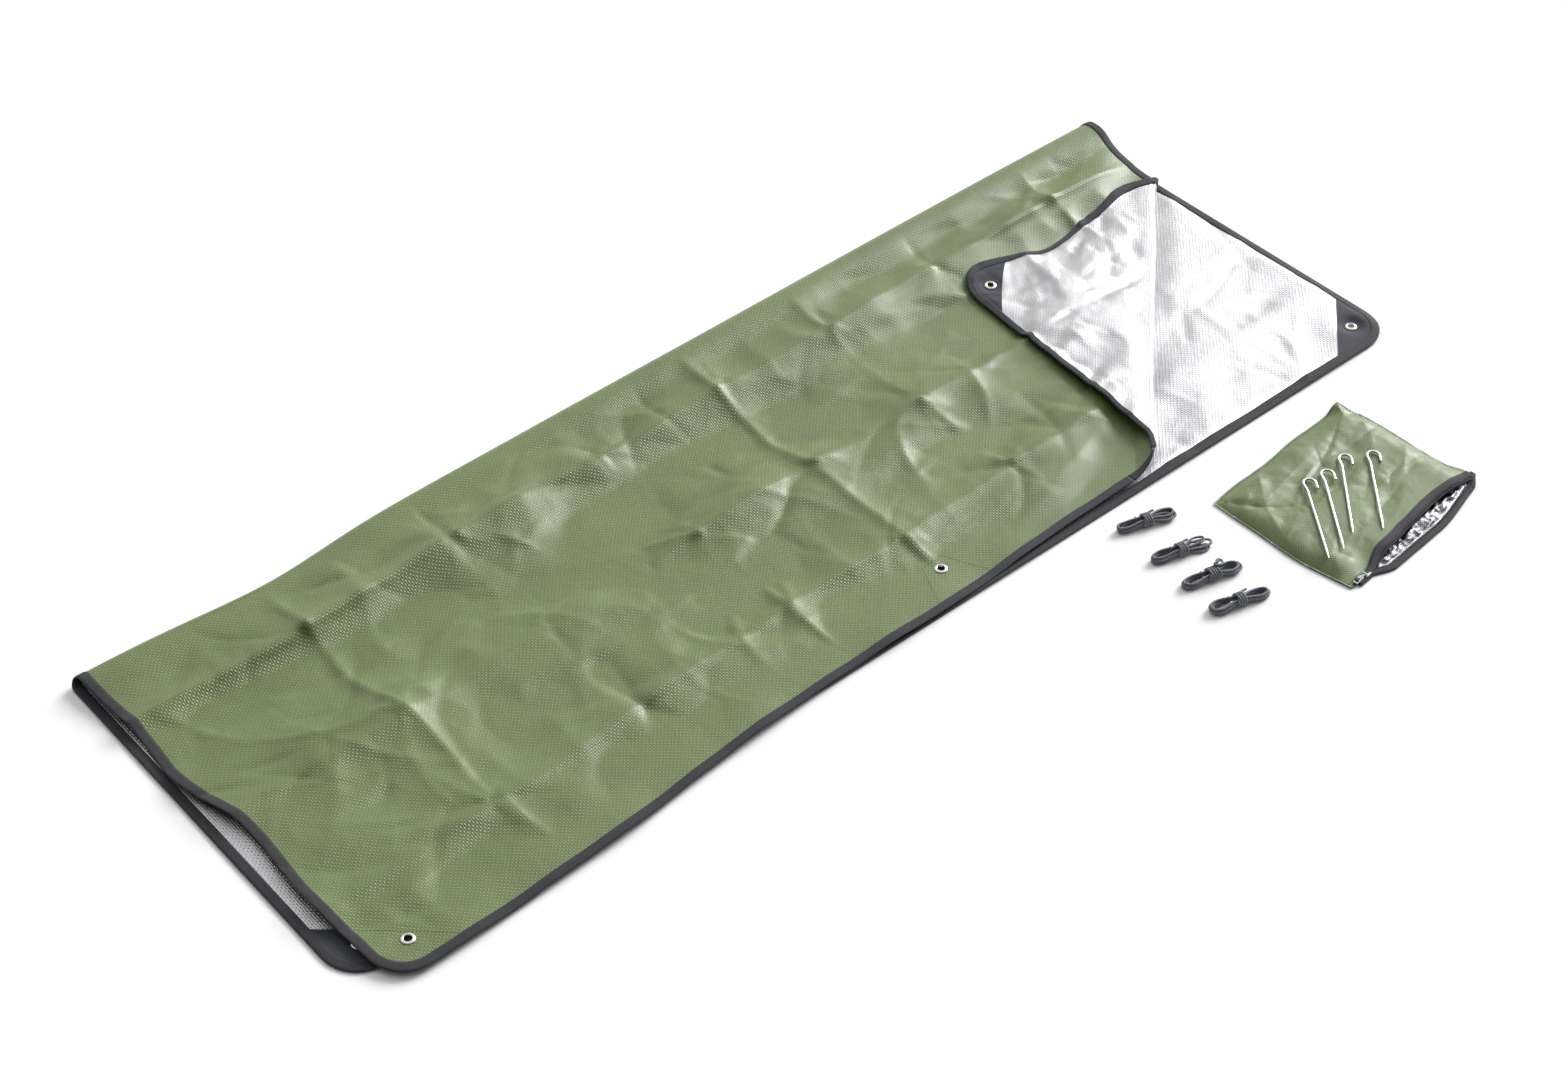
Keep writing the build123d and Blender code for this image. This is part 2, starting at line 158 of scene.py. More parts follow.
# heights of the upper layer across its width, in millimetres, at the foot, the middle and the head
PROFILE_Y = (-0.41, -0.30, -0.215, -0.11, 0.0, 0.09, 0.16, 0.235, 0.30, 0.36)
PROFILE_FOOT = (4, 9, 13, 13, 17, 11, 4, 15, 19, 22)
PROFILE_MID = (4, 8, 14, 8, 16, 8, 9, 27, 27, 36)
PROFILE_HEAD = (5, 9, 14, 8, 15, 10, 10, 27, 26, 40)


def fold_y(x):
    """Where the lower layer runs into the fold."""
    return 0.350 - 0.014 * bump(x, -0.74, 0.16) + 0.010 * smooth(0.1, 1.0, x)


def fold_r(x):
    return 0.011 + 0.009 * smooth(-1.05, 0.5, x) - 0.002 * bump(x, -0.70, 0.12)


def upper_open_y(x):
    rise = 0.043 * smooth(-0.95, -0.12, x) + 0.014 * smooth(0.0, 0.36, x)
    return -0.403 + rise - 0.004 * bump(x, -0.6, 0.1)


def upper_foot_x(y):
    return -1.012 - 0.022 * smooth(-0.05, 0.12, y) - 0.004 * np.sin(y * 23.0)


def upper_head_x(y):
    return 1.046 + 0.016 * smooth(0.27, 0.36, y)


def line_noise(seed, along):
    """How far a crease wanders from its straight line."""
    return 0.0045 * noise(seed, along, 0.37 * seed, 0.21) + 0.0018 * noise(seed + 3, along, 2.0, 0.05)


def ridge(d, height, near, far):
    """A fold line's ridge: pointed, with hollow flanks, steeper on the near side (d < 0)."""
    r = np.sqrt(d * d + 0.0012 ** 2) - 0.0012
    return height * np.exp(-r / np.where(d < 0, near, far))


def creases(s, t, long_lines, cross_lines, strength, seed):
    """Height of the packing creases, with pinched stars where they cross."""
    z = np.zeros_like(s)
    for k, line in enumerate(long_lines):
        d = -(t - line - line_noise(seed + k, s))
        fade = 0.70 + 0.40 * NOISE[k](s, line, 0.30)
        z += ridge(d, strength * fade * (1.35 if k == 0 else 0.85), 0.014, 0.032)
    for k, line in enumerate(cross_lines):
        d = s - line - line_noise(seed + 9 + k, t)
        sign = -1.0 if k % 2 else 1.0
        fade = 0.50 + 0.70 * noise(k + 4, line, t, 0.17)
        if k == 3:
            sign, fade = 1.0, 0.9
        z += sign * ridge(d, strength * 0.75 * fade, 0.011, 0.017)
    draw = random.Random(seed)
    for cs in cross_lines:
        for ct in long_lines:
            at = cs + draw.uniform(-0.012, 0.012), ct + draw.uniform(-0.008, 0.008)
            z += star(s, t, *at, strength, draw)
    return z


def along_across(s, t, cs, ct, angle, bend):
    """Coordinates along and across a short fold that starts at (cs, ct) and curves a little."""
    u = (s - cs) * math.cos(angle) + (t - ct) * math.sin(angle)
    return u, -(s - cs) * math.sin(angle) + (t - ct) * math.cos(angle) - bend * u * u


def star(s, t, cs, ct, strength, draw):
    """A pinch at a crossing: short rays of pointed folds that die out from its middle."""
    z = np.zeros_like(s)
    count = draw.randint(5, 8)
    start = draw.uniform(0, math.tau)
    for k in range(count):
        angle = start + math.tau * (k + draw.uniform(-0.3, 0.3)) / count
        length = draw.uniform(0.03, 0.10)
        width = draw.uniform(0.0035, 0.008)
        height = strength * draw.uniform(-0.60, 0.60)
        u, v = along_across(s, t, cs, ct, angle, draw.uniform(-6.0, 6.0))
        along = smooth(-0.004, 0.010, u) * np.exp(-np.clip(u, 0, None) / length)
        z += height * along * np.exp(-np.sqrt(v * v + 0.001 ** 2) / (width + 0.15 * np.clip(u, 0, None)))
    return z


def wrinkles(s, t, count, seed, height, lo, hi):
    """Loose short folds scattered over the cloth, mostly slanting between the packing creases."""
    z = np.zeros_like(s)
    draw = random.Random(seed)
    for _ in range(count):
        cs, ct = draw.uniform(lo[0], hi[0]), draw.uniform(lo[1], hi[1])
        angle = draw.gauss(0.2, 0.75)
        length = draw.uniform(0.03, 0.12)
        width = draw.uniform(0.005, 0.013)
        h = height * draw.uniform(-1.0, 1.0)
        u, v = along_across(s, t, cs, ct, angle, draw.uniform(-3.0, 3.0))
        near = (np.abs(u) < 2.6 * length) & (np.abs(v) < 6 * width)
        z[near] += h * np.exp(-(u[near] / length) ** 2 - np.sqrt((v[near] / width) ** 2 + 0.04))
    return z


def relief(s, t, seed, soft):
    """What the cloth's own stiffness does between the creases."""
    x, y = s + 0.02 * noise(seed + 3, s, t, 0.11), t + 0.02 * noise(seed + 4, s, t, 0.11)
    sharp = 0.5 - np.abs(noise(seed + 5, x, y, 0.145))
    fine = 0.5 - np.abs(noise(seed + 6, x * 0.8, y, 0.062))
    return soft * (0.0042 * noise(seed, s, t, 0.19) + 0.0018 * noise(seed + 1, s, t, 0.075)
                   + 0.0045 * sharp + 0.0017 * fine)


CREASE_START = np.array([CREASE_S, T2])
CREASE_END = np.array([LENGTH, CREASE_T])
CREASE_LEN = float(np.linalg.norm(CREASE_END - CREASE_START))
CREASE_WAY = (CREASE_END - CREASE_START) / CREASE_LEN
CREASE_OUT = np.array([-CREASE_WAY[1], CREASE_WAY[0]])


def crease_coords(s, t):
    """Distance along the crease from the open edge, and past it into the folded corner."""
    ds, dt = s - CREASE_START[0], t - CREASE_START[1]
    return ds * CREASE_WAY[0] + dt * CREASE_WAY[1], ds * CREASE_OUT[0] + dt * CREASE_OUT[1]


PLAN_WAY = (CREASE_HEAD - CREASE_FOOT) / np.linalg.norm(CREASE_HEAD - CREASE_FOOT)
PLAN_OUT = np.array([PLAN_WAY[1], -PLAN_WAY[0]])
HOLE_R = 0.0062
# where each eyelet's middle lies on the cloth
EYELETS = {"lower_foot": (0.050, 0.0525), "lower_mid": (1.12, 0.0615), "lower_head": (2.05, 0.0525),
           "upper_foot": (0.062, T2 - 0.053), "upper_mid": (1.108, T2 - 0.070),
           "flap_corner": (2.046, T2 - 0.050)}


def calm(s, t):
    """Less relief in the cloth around the eyelets, which hold it flat."""
    out = np.ones_like(s)
    for cs, ct in EYELETS.values():
        out = out * smooth(0.011, 0.034, np.hypot(s - cs, t - ct))
    return out


def upper_plan(s, t):
    q = (t - T1) / UPPER_T
    x = FOOT_X + 0.02 + s * 0.99          # near enough to find the width there
    y = blend(fold_y(x), upper_open_y(x), q)
    x = upper_foot_x(y) + (upper_head_x(y) - upper_foot_x(y)) * s / LENGTH
    return x, blend(fold_y(x), upper_open_y(x), q)


def upper_height(s, t, x, y):
    heads, feet = smooth(0.0, 0.85, x), smooth(-0.25, -1.0, x)
    shares = ((PROFILE_MID, 1 - heads - feet), (PROFILE_HEAD, heads), (PROFILE_FOOT, feet))
    z = sum(stations(profile, PROFILE_Y, y) * share for profile, share in shares) / 1000.0
    z += calm(s, t) * (creases(s, t, LONG_CREASES, CROSS_CREASES, 0.0100, 3) + relief(s, t, 0, 1.7)
                       + wrinkles(s, t, 280, 5, 0.0050, (0.0, T1), (LENGTH, T2)))
    z -= 0.012 * bump(x, 1.05, 0.06) * bump(y, 0.245, 0.035)
    wave = 0.0016 * (1 + np.sin(s * 21.0) + 0.6 * np.sin(s * 47.0 + 1.0))
    z = blend(np.maximum(z, UPPER_LOW), OPEN_EDGE_Z + wave, smooth(T2 - 0.10, T2, t))
    z = blend(z, 2 * fold_r(x) + GREEN_FACE, smooth(T1 + 0.07, T1, t))
    z = blend(z, ROLL_LOW, smooth(-0.11, -0.002, crease_coords(s, t)[1]))
    z = blend(z, np.minimum(z, UNDER_FLAP), smooth(0.40, 0.52, x) * smooth(0.25, 0.21, y))
    return np.maximum(z, UPPER_CLEAR)


def lower_point(s, t):
    x = FOOT_X + s
    fy = fold_y(x)
    y = OPEN_Y + (fy - OPEN_Y) * t / LOWER_T
    inside = (smooth(0, RIM, t) * smooth(LOWER_T, LOWER_T - 0.08, t)
              * smooth(0, RIM, s) * smooth(LENGTH, LENGTH - RIM, s))
    z = creases(s, t, LOWER_LONG, CROSS_CREASES, 0.0070, 31)
    z = z + relief(s, t, 3, 1.5) + wrinkles(s, t, 140, 8, 0.0055, (1.3, 0.0), (LENGTH, 0.7))
    past = (x - CREASE_FOOT[0]) * PLAN_OUT[0] + (y - CREASE_FOOT[1]) * PLAN_OUT[1]
    shown = smooth(0.0, 0.05, past)
    z = np.maximum(z + 0.0012, 0.0) * inside * (HIDDEN_RELIEF + (1 - HIDDEN_RELIEF) * shown) * calm(s, t)
    z = LOWER_SOFT * np.tanh(z / LOWER_SOFT)
    edge_wave = 0.0010 * (1 + np.sin(s * 17.0)) * (1 - smooth(0, RIM, t))
    return x, y, z + edge_wave + GROUND


def fold_point(s, t):
    x = FOOT_X + s
    r, fy = fold_r(x), fold_y(x)
    angle = math.pi * (t - T0) / FOLD_T
    ux, uy = upper_plan(s, np.full_like(s, T1))
    mix = smooth(0, 1, angle / math.pi)
    puff = 1.0 + 0.03 * NOISE[2](s, t, 0.12) * np.sin(angle)
    y = blend(fy, uy, mix) + r * np.sin(angle) * puff
    z = GROUND + (r + (GREEN_FACE - GROUND) / 2) * (1 - np.cos(angle))
    return blend(x, ux, mix), y, z


def flap_plan(s, t):
    along, past = crease_coords(s, t)
    corner_along, corner_past = crease_coords(np.array(LENGTH), np.array(T2))
    way = (CREASE_HEAD - CREASE_FOOT) / CREASE_LEN
    shift = (FLAP_CORNER - CREASE_FOOT - corner_along * way) / (corner_past - ROLL_B)
    b = past - ROLL_B
    x = CREASE_FOOT[0] + along * way[0] + b * shift[0]
    y = CREASE_FOOT[1] + along * way[1] + b * shift[1]
    foot_side = T2 - t
    f = np.clip((s - CREASE_S) / (LENGTH - CREASE_S), 0, 1)
    x = x + 0.044 * smooth(0.0, 0.14, f) * (1 - f) ** 0.8 * np.exp(-foot_side / 0.12)
    head_side = LENGTH - s
    g = np.clip((T2 - t) / (T2 - CREASE_T), 0, 1)
    wave = -0.028 * bump(g, 0.38, 0.16) + 0.022 * bump(g, 0.82, 0.12)
    y = y + wave * np.exp(-head_side / 0.10)
    return x, y, b


def upper_surface(x, y):
    """Height of the upper layer under a plan point, to lay the folded corner on."""
    q = (fold_y(x) - y) / (fold_y(x) - upper_open_y(x))
    s = (x - upper_foot_x(y)) / (upper_head_x(y) - upper_foot_x(y)) * LENGTH
    t = T1 + UPPER_T * q
    return upper_height(s, np.clip(t, T1, T2), x, y)


def flap_point(s, t):
    x, y, b = flap_plan(s, t)
    under = upper_surface(x, y)
    b = np.clip(b, 0, None)
    gap = 0.0035 + 0.0155 * np.exp(-(b / 0.20) ** 2)
    own = creases(s, t, FLAP_LONG, FLAP_CROSS, 0.0080, 57) + relief(s, t, 5, 1.2) \
        + wrinkles(s, t, 110, 21, 0.0034, (1.6, 0.95), (LENGTH, 1.5))
    own = own * calm(s, t)
    edge = smooth(0, RIM, np.minimum(T2 - t, LENGTH - s))
    z = under + gap + np.maximum(own, -0.6 * gap) * (0.35 + 0.65 * edge) * smooth(0, RIM, b)
    z = np.where(z > FLAP_SOFT, FLAP_SOFT + 0.0022 * np.tanh((z - FLAP_SOFT) / 0.0022), z)
    return x, y, blend(z, ROLL_TOP, smooth(0.05, 0.0, b))


def roll_point(s, t):
    """The crease of the folded corner: half a turn between the upper layer and the flap."""
    _, past = crease_coords(s, t)
    before, after = np.clip(past, 0, None), np.clip(ROLL_B - past, 0, None)
    base_s, base_t = s - CREASE_OUT[0] * before, t - CREASE_OUT[1] * before
    top_s, top_t = s + CREASE_OUT[0] * after, t + CREASE_OUT[1] * after
    ux, uy = upper_plan(base_s, base_t)
    fx, fy, fz = flap_point(top_s, top_t)
    angle = np.clip(past / ROLL_R, 0, math.pi)
    mix = (1 - np.cos(angle)) / 2
    x = blend(ux, fx, mix) + PLAN_OUT[0] * ROLL_R * np.sin(angle)
    y = blend(uy, fy, mix) + PLAN_OUT[1] * ROLL_R * np.sin(angle)
    z = ROLL_LOW + ROLL_R * (1 - np.cos(angle))
    z = np.where(past < 0, upper_height(s, t, ux, uy), z)
    return x, y, np.where(past > ROLL_B, fz, z)


def cloth_point(s, t, part):
    """Position of the sheet's middle surface. part says which stretch of the sheet it is."""
    s, t = np.asarray(s, float), np.asarray(t, float)
    if part == "lower":
        out = lower_point(s, t)
    elif part == "fold":
        out = fold_point(s, t)
    elif part == "upper":
        x, y = upper_plan(s, t)
        out = x, y, upper_height(s, t, x, y)
    elif part == "crease":
        out = roll_point(s, t)
    else:
        out = flap_point(s, t)
    return np.stack([np.broadcast_to(a, s.shape) for a in out], axis=-1)


def arc(centre, start, count=9):
    """A corner's quarter circle in cloth coordinates."""
    return [(centre[0] + CORNER_R * math.cos(a), centre[1] + CORNER_R * math.sin(a))
            for a in (start + math.pi / 2 * k / (count - 1) for k in range(count))]


def on_crease(s=None, t=None, past=0.0):
    """The cloth point where a line at the given distance past the crease meets s or t."""
    p = CREASE_START + CREASE_OUT * past
    k = (t - p[1]) / CREASE_WAY[1] if s is None else (s - p[0]) / CREASE_WAY[0]
    return tuple(p + CREASE_WAY * k)


HALF = math.pi / 2
FOOT_ARC_LOW = arc((CORNER_R, CORNER_R), math.pi)
HEAD_ARC_LOW = arc((LENGTH - CORNER_R, CORNER_R), -HALF)
FOOT_ARC_UP = arc((CORNER_R, T2 - CORNER_R), HALF)
HEAD_ARC_UP = arc((LENGTH - CORNER_R, T2 - CORNER_R), 0)
ROLL_OPEN, ROLL_HEAD = on_crease(t=T2, past=ROLL_B), on_crease(s=LENGTH, past=ROLL_B)
OUTLINES = {
    "lower": [(0, T0)] + FOOT_ARC_LOW + HEAD_ARC_LOW + [(LENGTH, T0)],
    "fold": [(0, T1), (0, T0), (LENGTH, T0), (LENGTH, T1)],
    "upper": [(0, T1), (LENGTH, T1), (LENGTH, CREASE_T), (CREASE_S, T2)] + FOOT_ARC_UP,
    "crease": [on_crease(t=T2), on_crease(s=LENGTH), ROLL_HEAD, ROLL_OPEN],
    "flap": [ROLL_OPEN, ROLL_HEAD] + HEAD_ARC_UP,
}


def cut_grid(outline, step):
    """A regular grid of quads in cloth coordinates, cut to a convex outline."""
    lo, hi = np.min(outline, axis=0), np.max(outline, axis=0)
    ks = range(int(math.floor(lo[0] / step)), int(math.ceil(hi[0] / step)) + 1)
    kt = range(int(math.floor(lo[1] / step)), int(math.ceil(hi[1] / step)) + 1)
    bm = bmesh.new()
    rows = [[bm.verts.new((i * step, j * step, 0)) for i in ks] for j in kt]
    for low, high in zip(rows, rows[1:]):
        for a, b, c, d in zip(low, low[1:], high[1:], high):
            bm.faces.new((a, b, c, d))
    for a, b in zip(outline, outline[1:] + outline[:1]):
        a, b = Vector((a[0], a[1], 0)), Vector((b[0], b[1], 0))
        if (b - a).length < 1e-6:
            continue
        inward = Vector((-(b - a).y, (b - a).x, 0))
        geom = bm.verts[:] + bm.edges[:] + bm.faces[:]
        bmesh.ops.bisect_plane(bm, geom=geom, plane_co=a, plane_no=inward, clear_inner=True, dist=1e-6)
    bmesh.ops.remove_doubles(bm, verts=bm.verts[:], dist=2e-5)
    return bm


def new_object(name, bm, material):
    me = bpy.data.meshes.new(name)
    bm.to_mesh(me)
    bm.free()
    me.materials.append(material)
    me.shade_smooth()
    obj = bpy.data.objects.new(name, me)
    bpy.context.scene.collection.objects.link(obj)
    return obj


def closed_area(outline):
    """Area inside an outline, positive where it runs counter-clockwise."""
    return sum(a[0] * b[1] - b[0] * a[1] for a, b in zip(outline, outline[1:] + outline[:1])) / 2


def thicken(bm, low, high):
    """Turn an open sheet into a closed one, from low to high along its normals."""
    bm.normal_update()
    bm.verts.index_update()
    lows = bm.verts[:]
    base = [v.co.copy() for v in lows]
    normals = [v.normal.copy() for v in lows]
    uv = bm.loops.layers.uv.active
    faces = bm.faces[:]
    rim = [e.link_loops[0] for e in bm.edges if len(e.link_faces) == 1]
    tops = [bm.verts.new(p + n * high) for p, n in zip(base, normals)]
    for v, p, n in zip(lows, base, normals):
        v.co = p + n * low
    for f in faces:
        g = bm.faces.new([tops[v.index] for v in f.verts])
        if uv:
            for a, b in zip(f.loops, g.loops):
                b[uv].uv = a[uv].uv
    for loop in rim:
        a, b = loop.vert, loop.link_loop_next.vert
        f = bm.faces.new((b, a, tops[a.index], tops[b.index]))
        if uv:
            ua, ub = loop[uv].uv, loop.link_loop_next[uv].uv
            for l, u in zip(f.loops, (ub, ua, ua, ub)):
                l[uv].uv = u
    for f in faces:
        f.normal_flip()
    return bm


def punch(bm, centre, radius, step):
    """Cut a round hole and mesh the ring between it and the grid."""
    c = Vector(centre)
    gone = [f for f in bm.faces if (f.calc_center_median().xy - c).length < radius + 0.85 * step]
    inner = {e for f in gone for e in f.edges if all(g in gone for g in e.link_faces)}
    rim = [e for f in gone for e in f.edges if e not in inner]
    verts = list({v for e in rim for v in e.verts})
    where = {v: k for k, v in enumerate(verts)}
    edges = [(where[e.verts[0]], where[e.verts[1]]) for e in rim]
    count, start = 20, len(verts)
    points = [v.co.xy for v in verts]
    points += [c + Vector((math.cos(math.tau * k / count), math.sin(math.tau * k / count))) * radius
               for k in range(count)]
    edges += [(start + k, start + (k + 1) % count) for k in range(count)]
    got, _, faces, origin, *_ = delaunay_2d_cdt(points, edges, [], 1, 1e-7)
    bmesh.ops.delete(bm, geom=gone, context="FACES_KEEP_BOUNDARY")
    made = [verts[src[0]] if src and src[0] < start else bm.verts.new((*co, 0))
            for co, src in zip(got, origin)]
    for f in faces:
        middle = sum((got[k] for k in f), Vector((0, 0))) / len(f)
        if (middle - c).length > radius * 0.97:
            bm.faces.new([made[k] for k in f])
    loose = [v for v in bm.verts if not v.link_faces]
    bmesh.ops.delete(bm, geom=loose, context="VERTS")


def flat_piece(part, step, outline):
    """A stretch of the sheet still flat, in cloth coordinates, with its eyelet holes cut."""
    bm = cut_grid(outline if closed_area(outline) > 0 else outline[::-1], step)
    lo, hi = np.min(outline, axis=0), np.max(outline, axis=0)
    for key, spot in EYELETS.items():
        if key.split("_")[0] == part and all(lo[k] < spot[k] < hi[k] for k in (0, 1)):
            punch(bm, spot, HOLE_R, step)
    uv = bm.loops.layers.uv.new("cloth")
    for f in bm.faces:
        for l in f.loops:
            l[uv].uv = l.vert.co.xy
    return bm


def shaped(bm, part):
    """Fold the flat piece into its place."""
    st = np.array([v.co[:2] for v in bm.verts])
    for v, p in zip(bm.verts, cloth_point(st[:, 0], st[:, 1], part)):
        v.co = p
    bm.normal_update()
    return bm


def two_faces(part):
    """The green face and the foil face of one stretch."""
    bm = shaped(flat_piece(part, STEP, OUTLINES[part]), part)
    pieces = []
    for name, height, material in (("outer", GREEN_FACE, GREEN), ("foil", FOIL_FACE, SILVER)):
        face = bm.copy()
        for v in face.verts:
            v.co += v.normal * height
        if height < 0:
            bmesh.ops.reverse_faces(face, faces=face.faces[:])
        pieces.append(new_object(f"{part}_{name}", face, material))
    bm.free()
    return pieces


# --- materials ---------------------------------------------------------------------------------------
class Nodes:
    """Short way to build a material's nodes."""
    def __init__(self, name, **constants):
        self.mat = bpy.data.materials.new(name)
        self.mat.use_nodes = True
        self.tree = self.mat.node_tree
        self.shader = self.tree.nodes["Principled BSDF"]
        for key, value in constants.items():
            self.shader.inputs[key.replace("_", " ")].default_value = value

    def add(self, kind, inputs=(), **props):
        node = self.tree.nodes.new(kind)
        for key, value in props.items():
            setattr(node, key, value)
        for key, value in dict(inputs).items():
            if isinstance(value, bpy.types.NodeSocket):
                self.tree.links.new(value, node.inputs[key])
            else:
                node.inputs[key].default_value = value
        return node

    def maths(self, op, a, b=0.0):
        return self.add("ShaderNodeMath", {0: a, 1: b}, operation=op).outputs[0]

    def vary(self, value, amount, base):
        return self.maths("ADD", self.maths("MULTIPLY", value, amount), base)

    def coords(self):
        return self.add("ShaderNodeUVMap", uv_map="cloth").outputs[0]

    def place(self):
        return self.add("ShaderNodeTexCoord").outputs["Object"]

    def noise(self, vector, scale, detail=3.0, rough=0.55):
        return self.add("ShaderNodeTexNoise", {"Vector": vector, "Scale": scale, "Detail": detail,
                                               "Roughness": rough}).outputs["Fac"]

    def ramp(self, fac, stops):
        node = self.add("ShaderNodeValToRGB", {"Fac": fac})
        ramp = node.color_ramp
        while len(ramp.elements) < len(stops):
            ramp.elements.new(0.5)
        for e, (at, colour) in zip(ramp.elements, stops):
            e.position = at
            e.color = (*colour, 1.0)
        return node.outputs["Color"]

    def weave(self, vector, pitch_s, pitch_t):
        """Height of a plain weave: warp and weft tapes that pass over and under each other."""
        split = self.add("ShaderNodeSeparateXYZ", {0: vector})
        a = self.maths("MULTIPLY", split.outputs[0], math.pi / pitch_s)
        b = self.maths("MULTIPLY", split.outputs[1], math.pi / pitch_t)
        sa, sb = self.maths("SINE", a), self.maths("SINE", b)
        ca, cb = self.maths("ABSOLUTE", sa), self.maths("ABSOLUTE", sb)
        over = self.maths("MULTIPLY", sa, sb)
        return self.maths("ADD", self.maths("MULTIPLY", over, 0.5), self.maths("MINIMUM", ca, cb))

    def bump(self, height, strength, distance, normal=None):
        inputs = {"Height": height, "Strength": strength, "Distance": distance}
        if normal is not None:
            inputs["Normal"] = normal
        return self.add("ShaderNodeBump", inputs).outputs[0]

    def set(self, **sockets):
        for key, socket in sockets.items():
            self.tree.links.new(socket, self.shader.inputs[key.replace("_", " ")])
        return self.mat


def green_cloth(name, dark, light, pitch):
    """Woven polyethylene tape with a thin clear coating: satin, with a fine square weave."""
    n = Nodes(name, IOR=1.5, Coat_Weight=0.6, Coat_Roughness=0.38, Coat_IOR=1.5)
    uv = n.coords()
    weave = n.weave(uv, pitch, pitch)
    cloud = n.noise(uv, 7.0, 4.0)
    fine = n.noise(uv, 160.0, 3.0)
    colour = n.ramp(cloud, [(0.30, dark), (0.70, light)])
    # painted shade: threads darkens the cloth's colour where the weave's height is low, between and under the
    # tapes
    threads = n.ramp(weave, [(0.0, (0.46, 0.50, 0.36)), (0.75, (1.0, 1.0, 1.0))])
    mixed = n.add("ShaderNodeMix", data_type="RGBA", blend_type="MULTIPLY")
    mixed.inputs[0].default_value = 0.70
    for slot, value in ((6, colour), (7, threads)):
        n.tree.links.new(value, mixed.inputs[slot])
    rough = n.vary(fine, 0.16, 0.33)
    folds = n.noise(uv, 34.0, 5.0, 0.6)
    normal = n.bump(folds, 0.45, 0.0030)
    normal = n.bump(weave, 0.60, pitch * 0.22, normal)
    return n.set(Base_Color=mixed.outputs[2], Roughness=rough, Normal=normal)


def foil(name, pitch, base_rough, dark, light):
    """Aluminised film over the weave: bright metal, embossed, with small crinkles."""
    n = Nodes(name, Metallic=1.0)
    uv = n.coords()
    weave = n.weave(uv, pitch, pitch)
    crinkle = n.noise(uv, 55.0, 6.0, 0.62)
    cloud = n.noise(uv, 9.0, 3.0)
    colour = n.ramp(cloud, [(0.3, dark), (0.7, light)])
    rough = n.vary(crinkle, 0.20, base_rough)
    normal = n.bump(crinkle, 0.50, 0.0026)
    normal = n.bump(weave, 0.60, pitch * 0.16, normal)
    return n.set(Base_Color=colour, Roughness=rough, Normal=normal)


def metal(name, dark, light, rough, scale):
    """Bare or plated metal with small scratches and worn spots."""
    n = Nodes(name, Metallic=1.0)
    where = n.place()
    wear = n.noise(where, scale, 5.0, 0.6)
    scratch = n.noise(where, scale * 7, 2.0)
    colour = n.ramp(wear, [(0.30, dark), (0.65, light)])
    roughness = n.vary(scratch, 0.18, rough)
    return n.set(Base_Color=colour, Roughness=roughness, Normal=n.bump(scratch, 0.15, 0.0002))


def yarn(name, dark, light):
    n = Nodes(name, IOR=1.45, Sheen_Weight=0.3, Sheen_Roughness=0.4)
    where = n.place()
    fibre = n.noise(where, 2600.0, 2.0)
    colour = n.ramp(fibre, [(0.3, dark), (0.7, light)])
    rough = n.vary(fibre, 0.2, 0.55)
    return n.set(Base_Color=colour, Roughness=rough, Normal=n.bump(fibre, 0.4, 0.0002))


def moulded(name, dark, light):
    """Drawn plastic filament, slightly shiny."""
    n = Nodes(name, IOR=1.48)
    grain = n.noise(n.place(), 900.0, 3.0)
    colour = n.ramp(grain, [(0.3, dark), (0.7, light)])
    rough = n.vary(grain, 0.2, 0.30)
    return n.set(Base_Color=colour, Roughness=rough, Normal=n.bump(grain, 0.2, 0.0001))


def braid():
    """Braided cord: strands cross at a slant round it."""
    n = Nodes("braided_cord", IOR=1.45, Sheen_Weight=0.4, Sheen_Roughness=0.4)
    where = n.place()
    fibre = n.noise(where, 1900.0, 3.0)
    cells = n.add("ShaderNodeTexVoronoi", {"Vector": where, "Scale": 900.0}).outputs["Distance"]
    # the colour is partly random fibre tone and partly painted shade and highlight: darker between the
    # strands, where the bump is low, and lighter on their tops
    colour = n.ramp(n.maths("ADD", n.maths("MULTIPLY", cells, 0.5), n.maths("MULTIPLY", fibre, 0.5)),
                    [(0.20, (0.240, 0.245, 0.285)), (0.70, (0.095, 0.098, 0.120))])
    rough = n.vary(fibre, 0.2, 0.55)
    normal = n.bump(n.maths("SUBTRACT", 1.0, cells), 0.8, 0.0005)
    return n.set(Base_Color=colour, Roughness=rough, Normal=normal)


def tape(name, dark, light, ribs):
    n = Nodes(name, IOR=1.42, Sheen_Weight=0.12, Sheen_Roughness=0.5)
    uv = n.coords()
    weave = n.weave(uv, ribs, ribs * 0.7)
    wear = n.noise(uv, 60.0, 4.0)
    colour = n.ramp(wear, [(0.3, dark), (0.75, light)])
    rough = n.vary(wear, 0.2, 0.6)
    return n.set(Base_Color=colour, Roughness=rough, Normal=n.bump(weave, 0.6, 0.0003))


GREEN = green_cloth("green_cloth", (0.112, 0.170, 0.036), (0.150, 0.215, 0.056), 0.0038)
SILVER = foil("foil", 0.0038, 0.31, (0.44, 0.44, 0.45), (0.56, 0.56, 0.57))
BINDING = tape("binding_tape", (0.010, 0.010, 0.013), (0.024, 0.025, 0.030), 0.0016)
PATCH = tape("patch_cloth", (0.018, 0.021, 0.034), (0.036, 0.040, 0.058), 0.0014)
THREAD = yarn("thread", (0.020, 0.021, 0.026), (0.070, 0.072, 0.085))
THREAD_GREEN = yarn("thread_on_green", (0.022, 0.030, 0.012), (0.060, 0.075, 0.035))
NICKEL = metal("nickel_plate", (0.62, 0.60, 0.56), (0.80, 0.78, 0.74), 0.18, 220.0)


def attach(obj, part):
    """Ride on the stretch's body; the fold's and the crease's pieces only get their transform baked into the
    mesh.
    """
    if part == "fold":
        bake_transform(obj)
    elif part == "crease":
        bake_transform(obj)
    else:
        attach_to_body(obj, part)


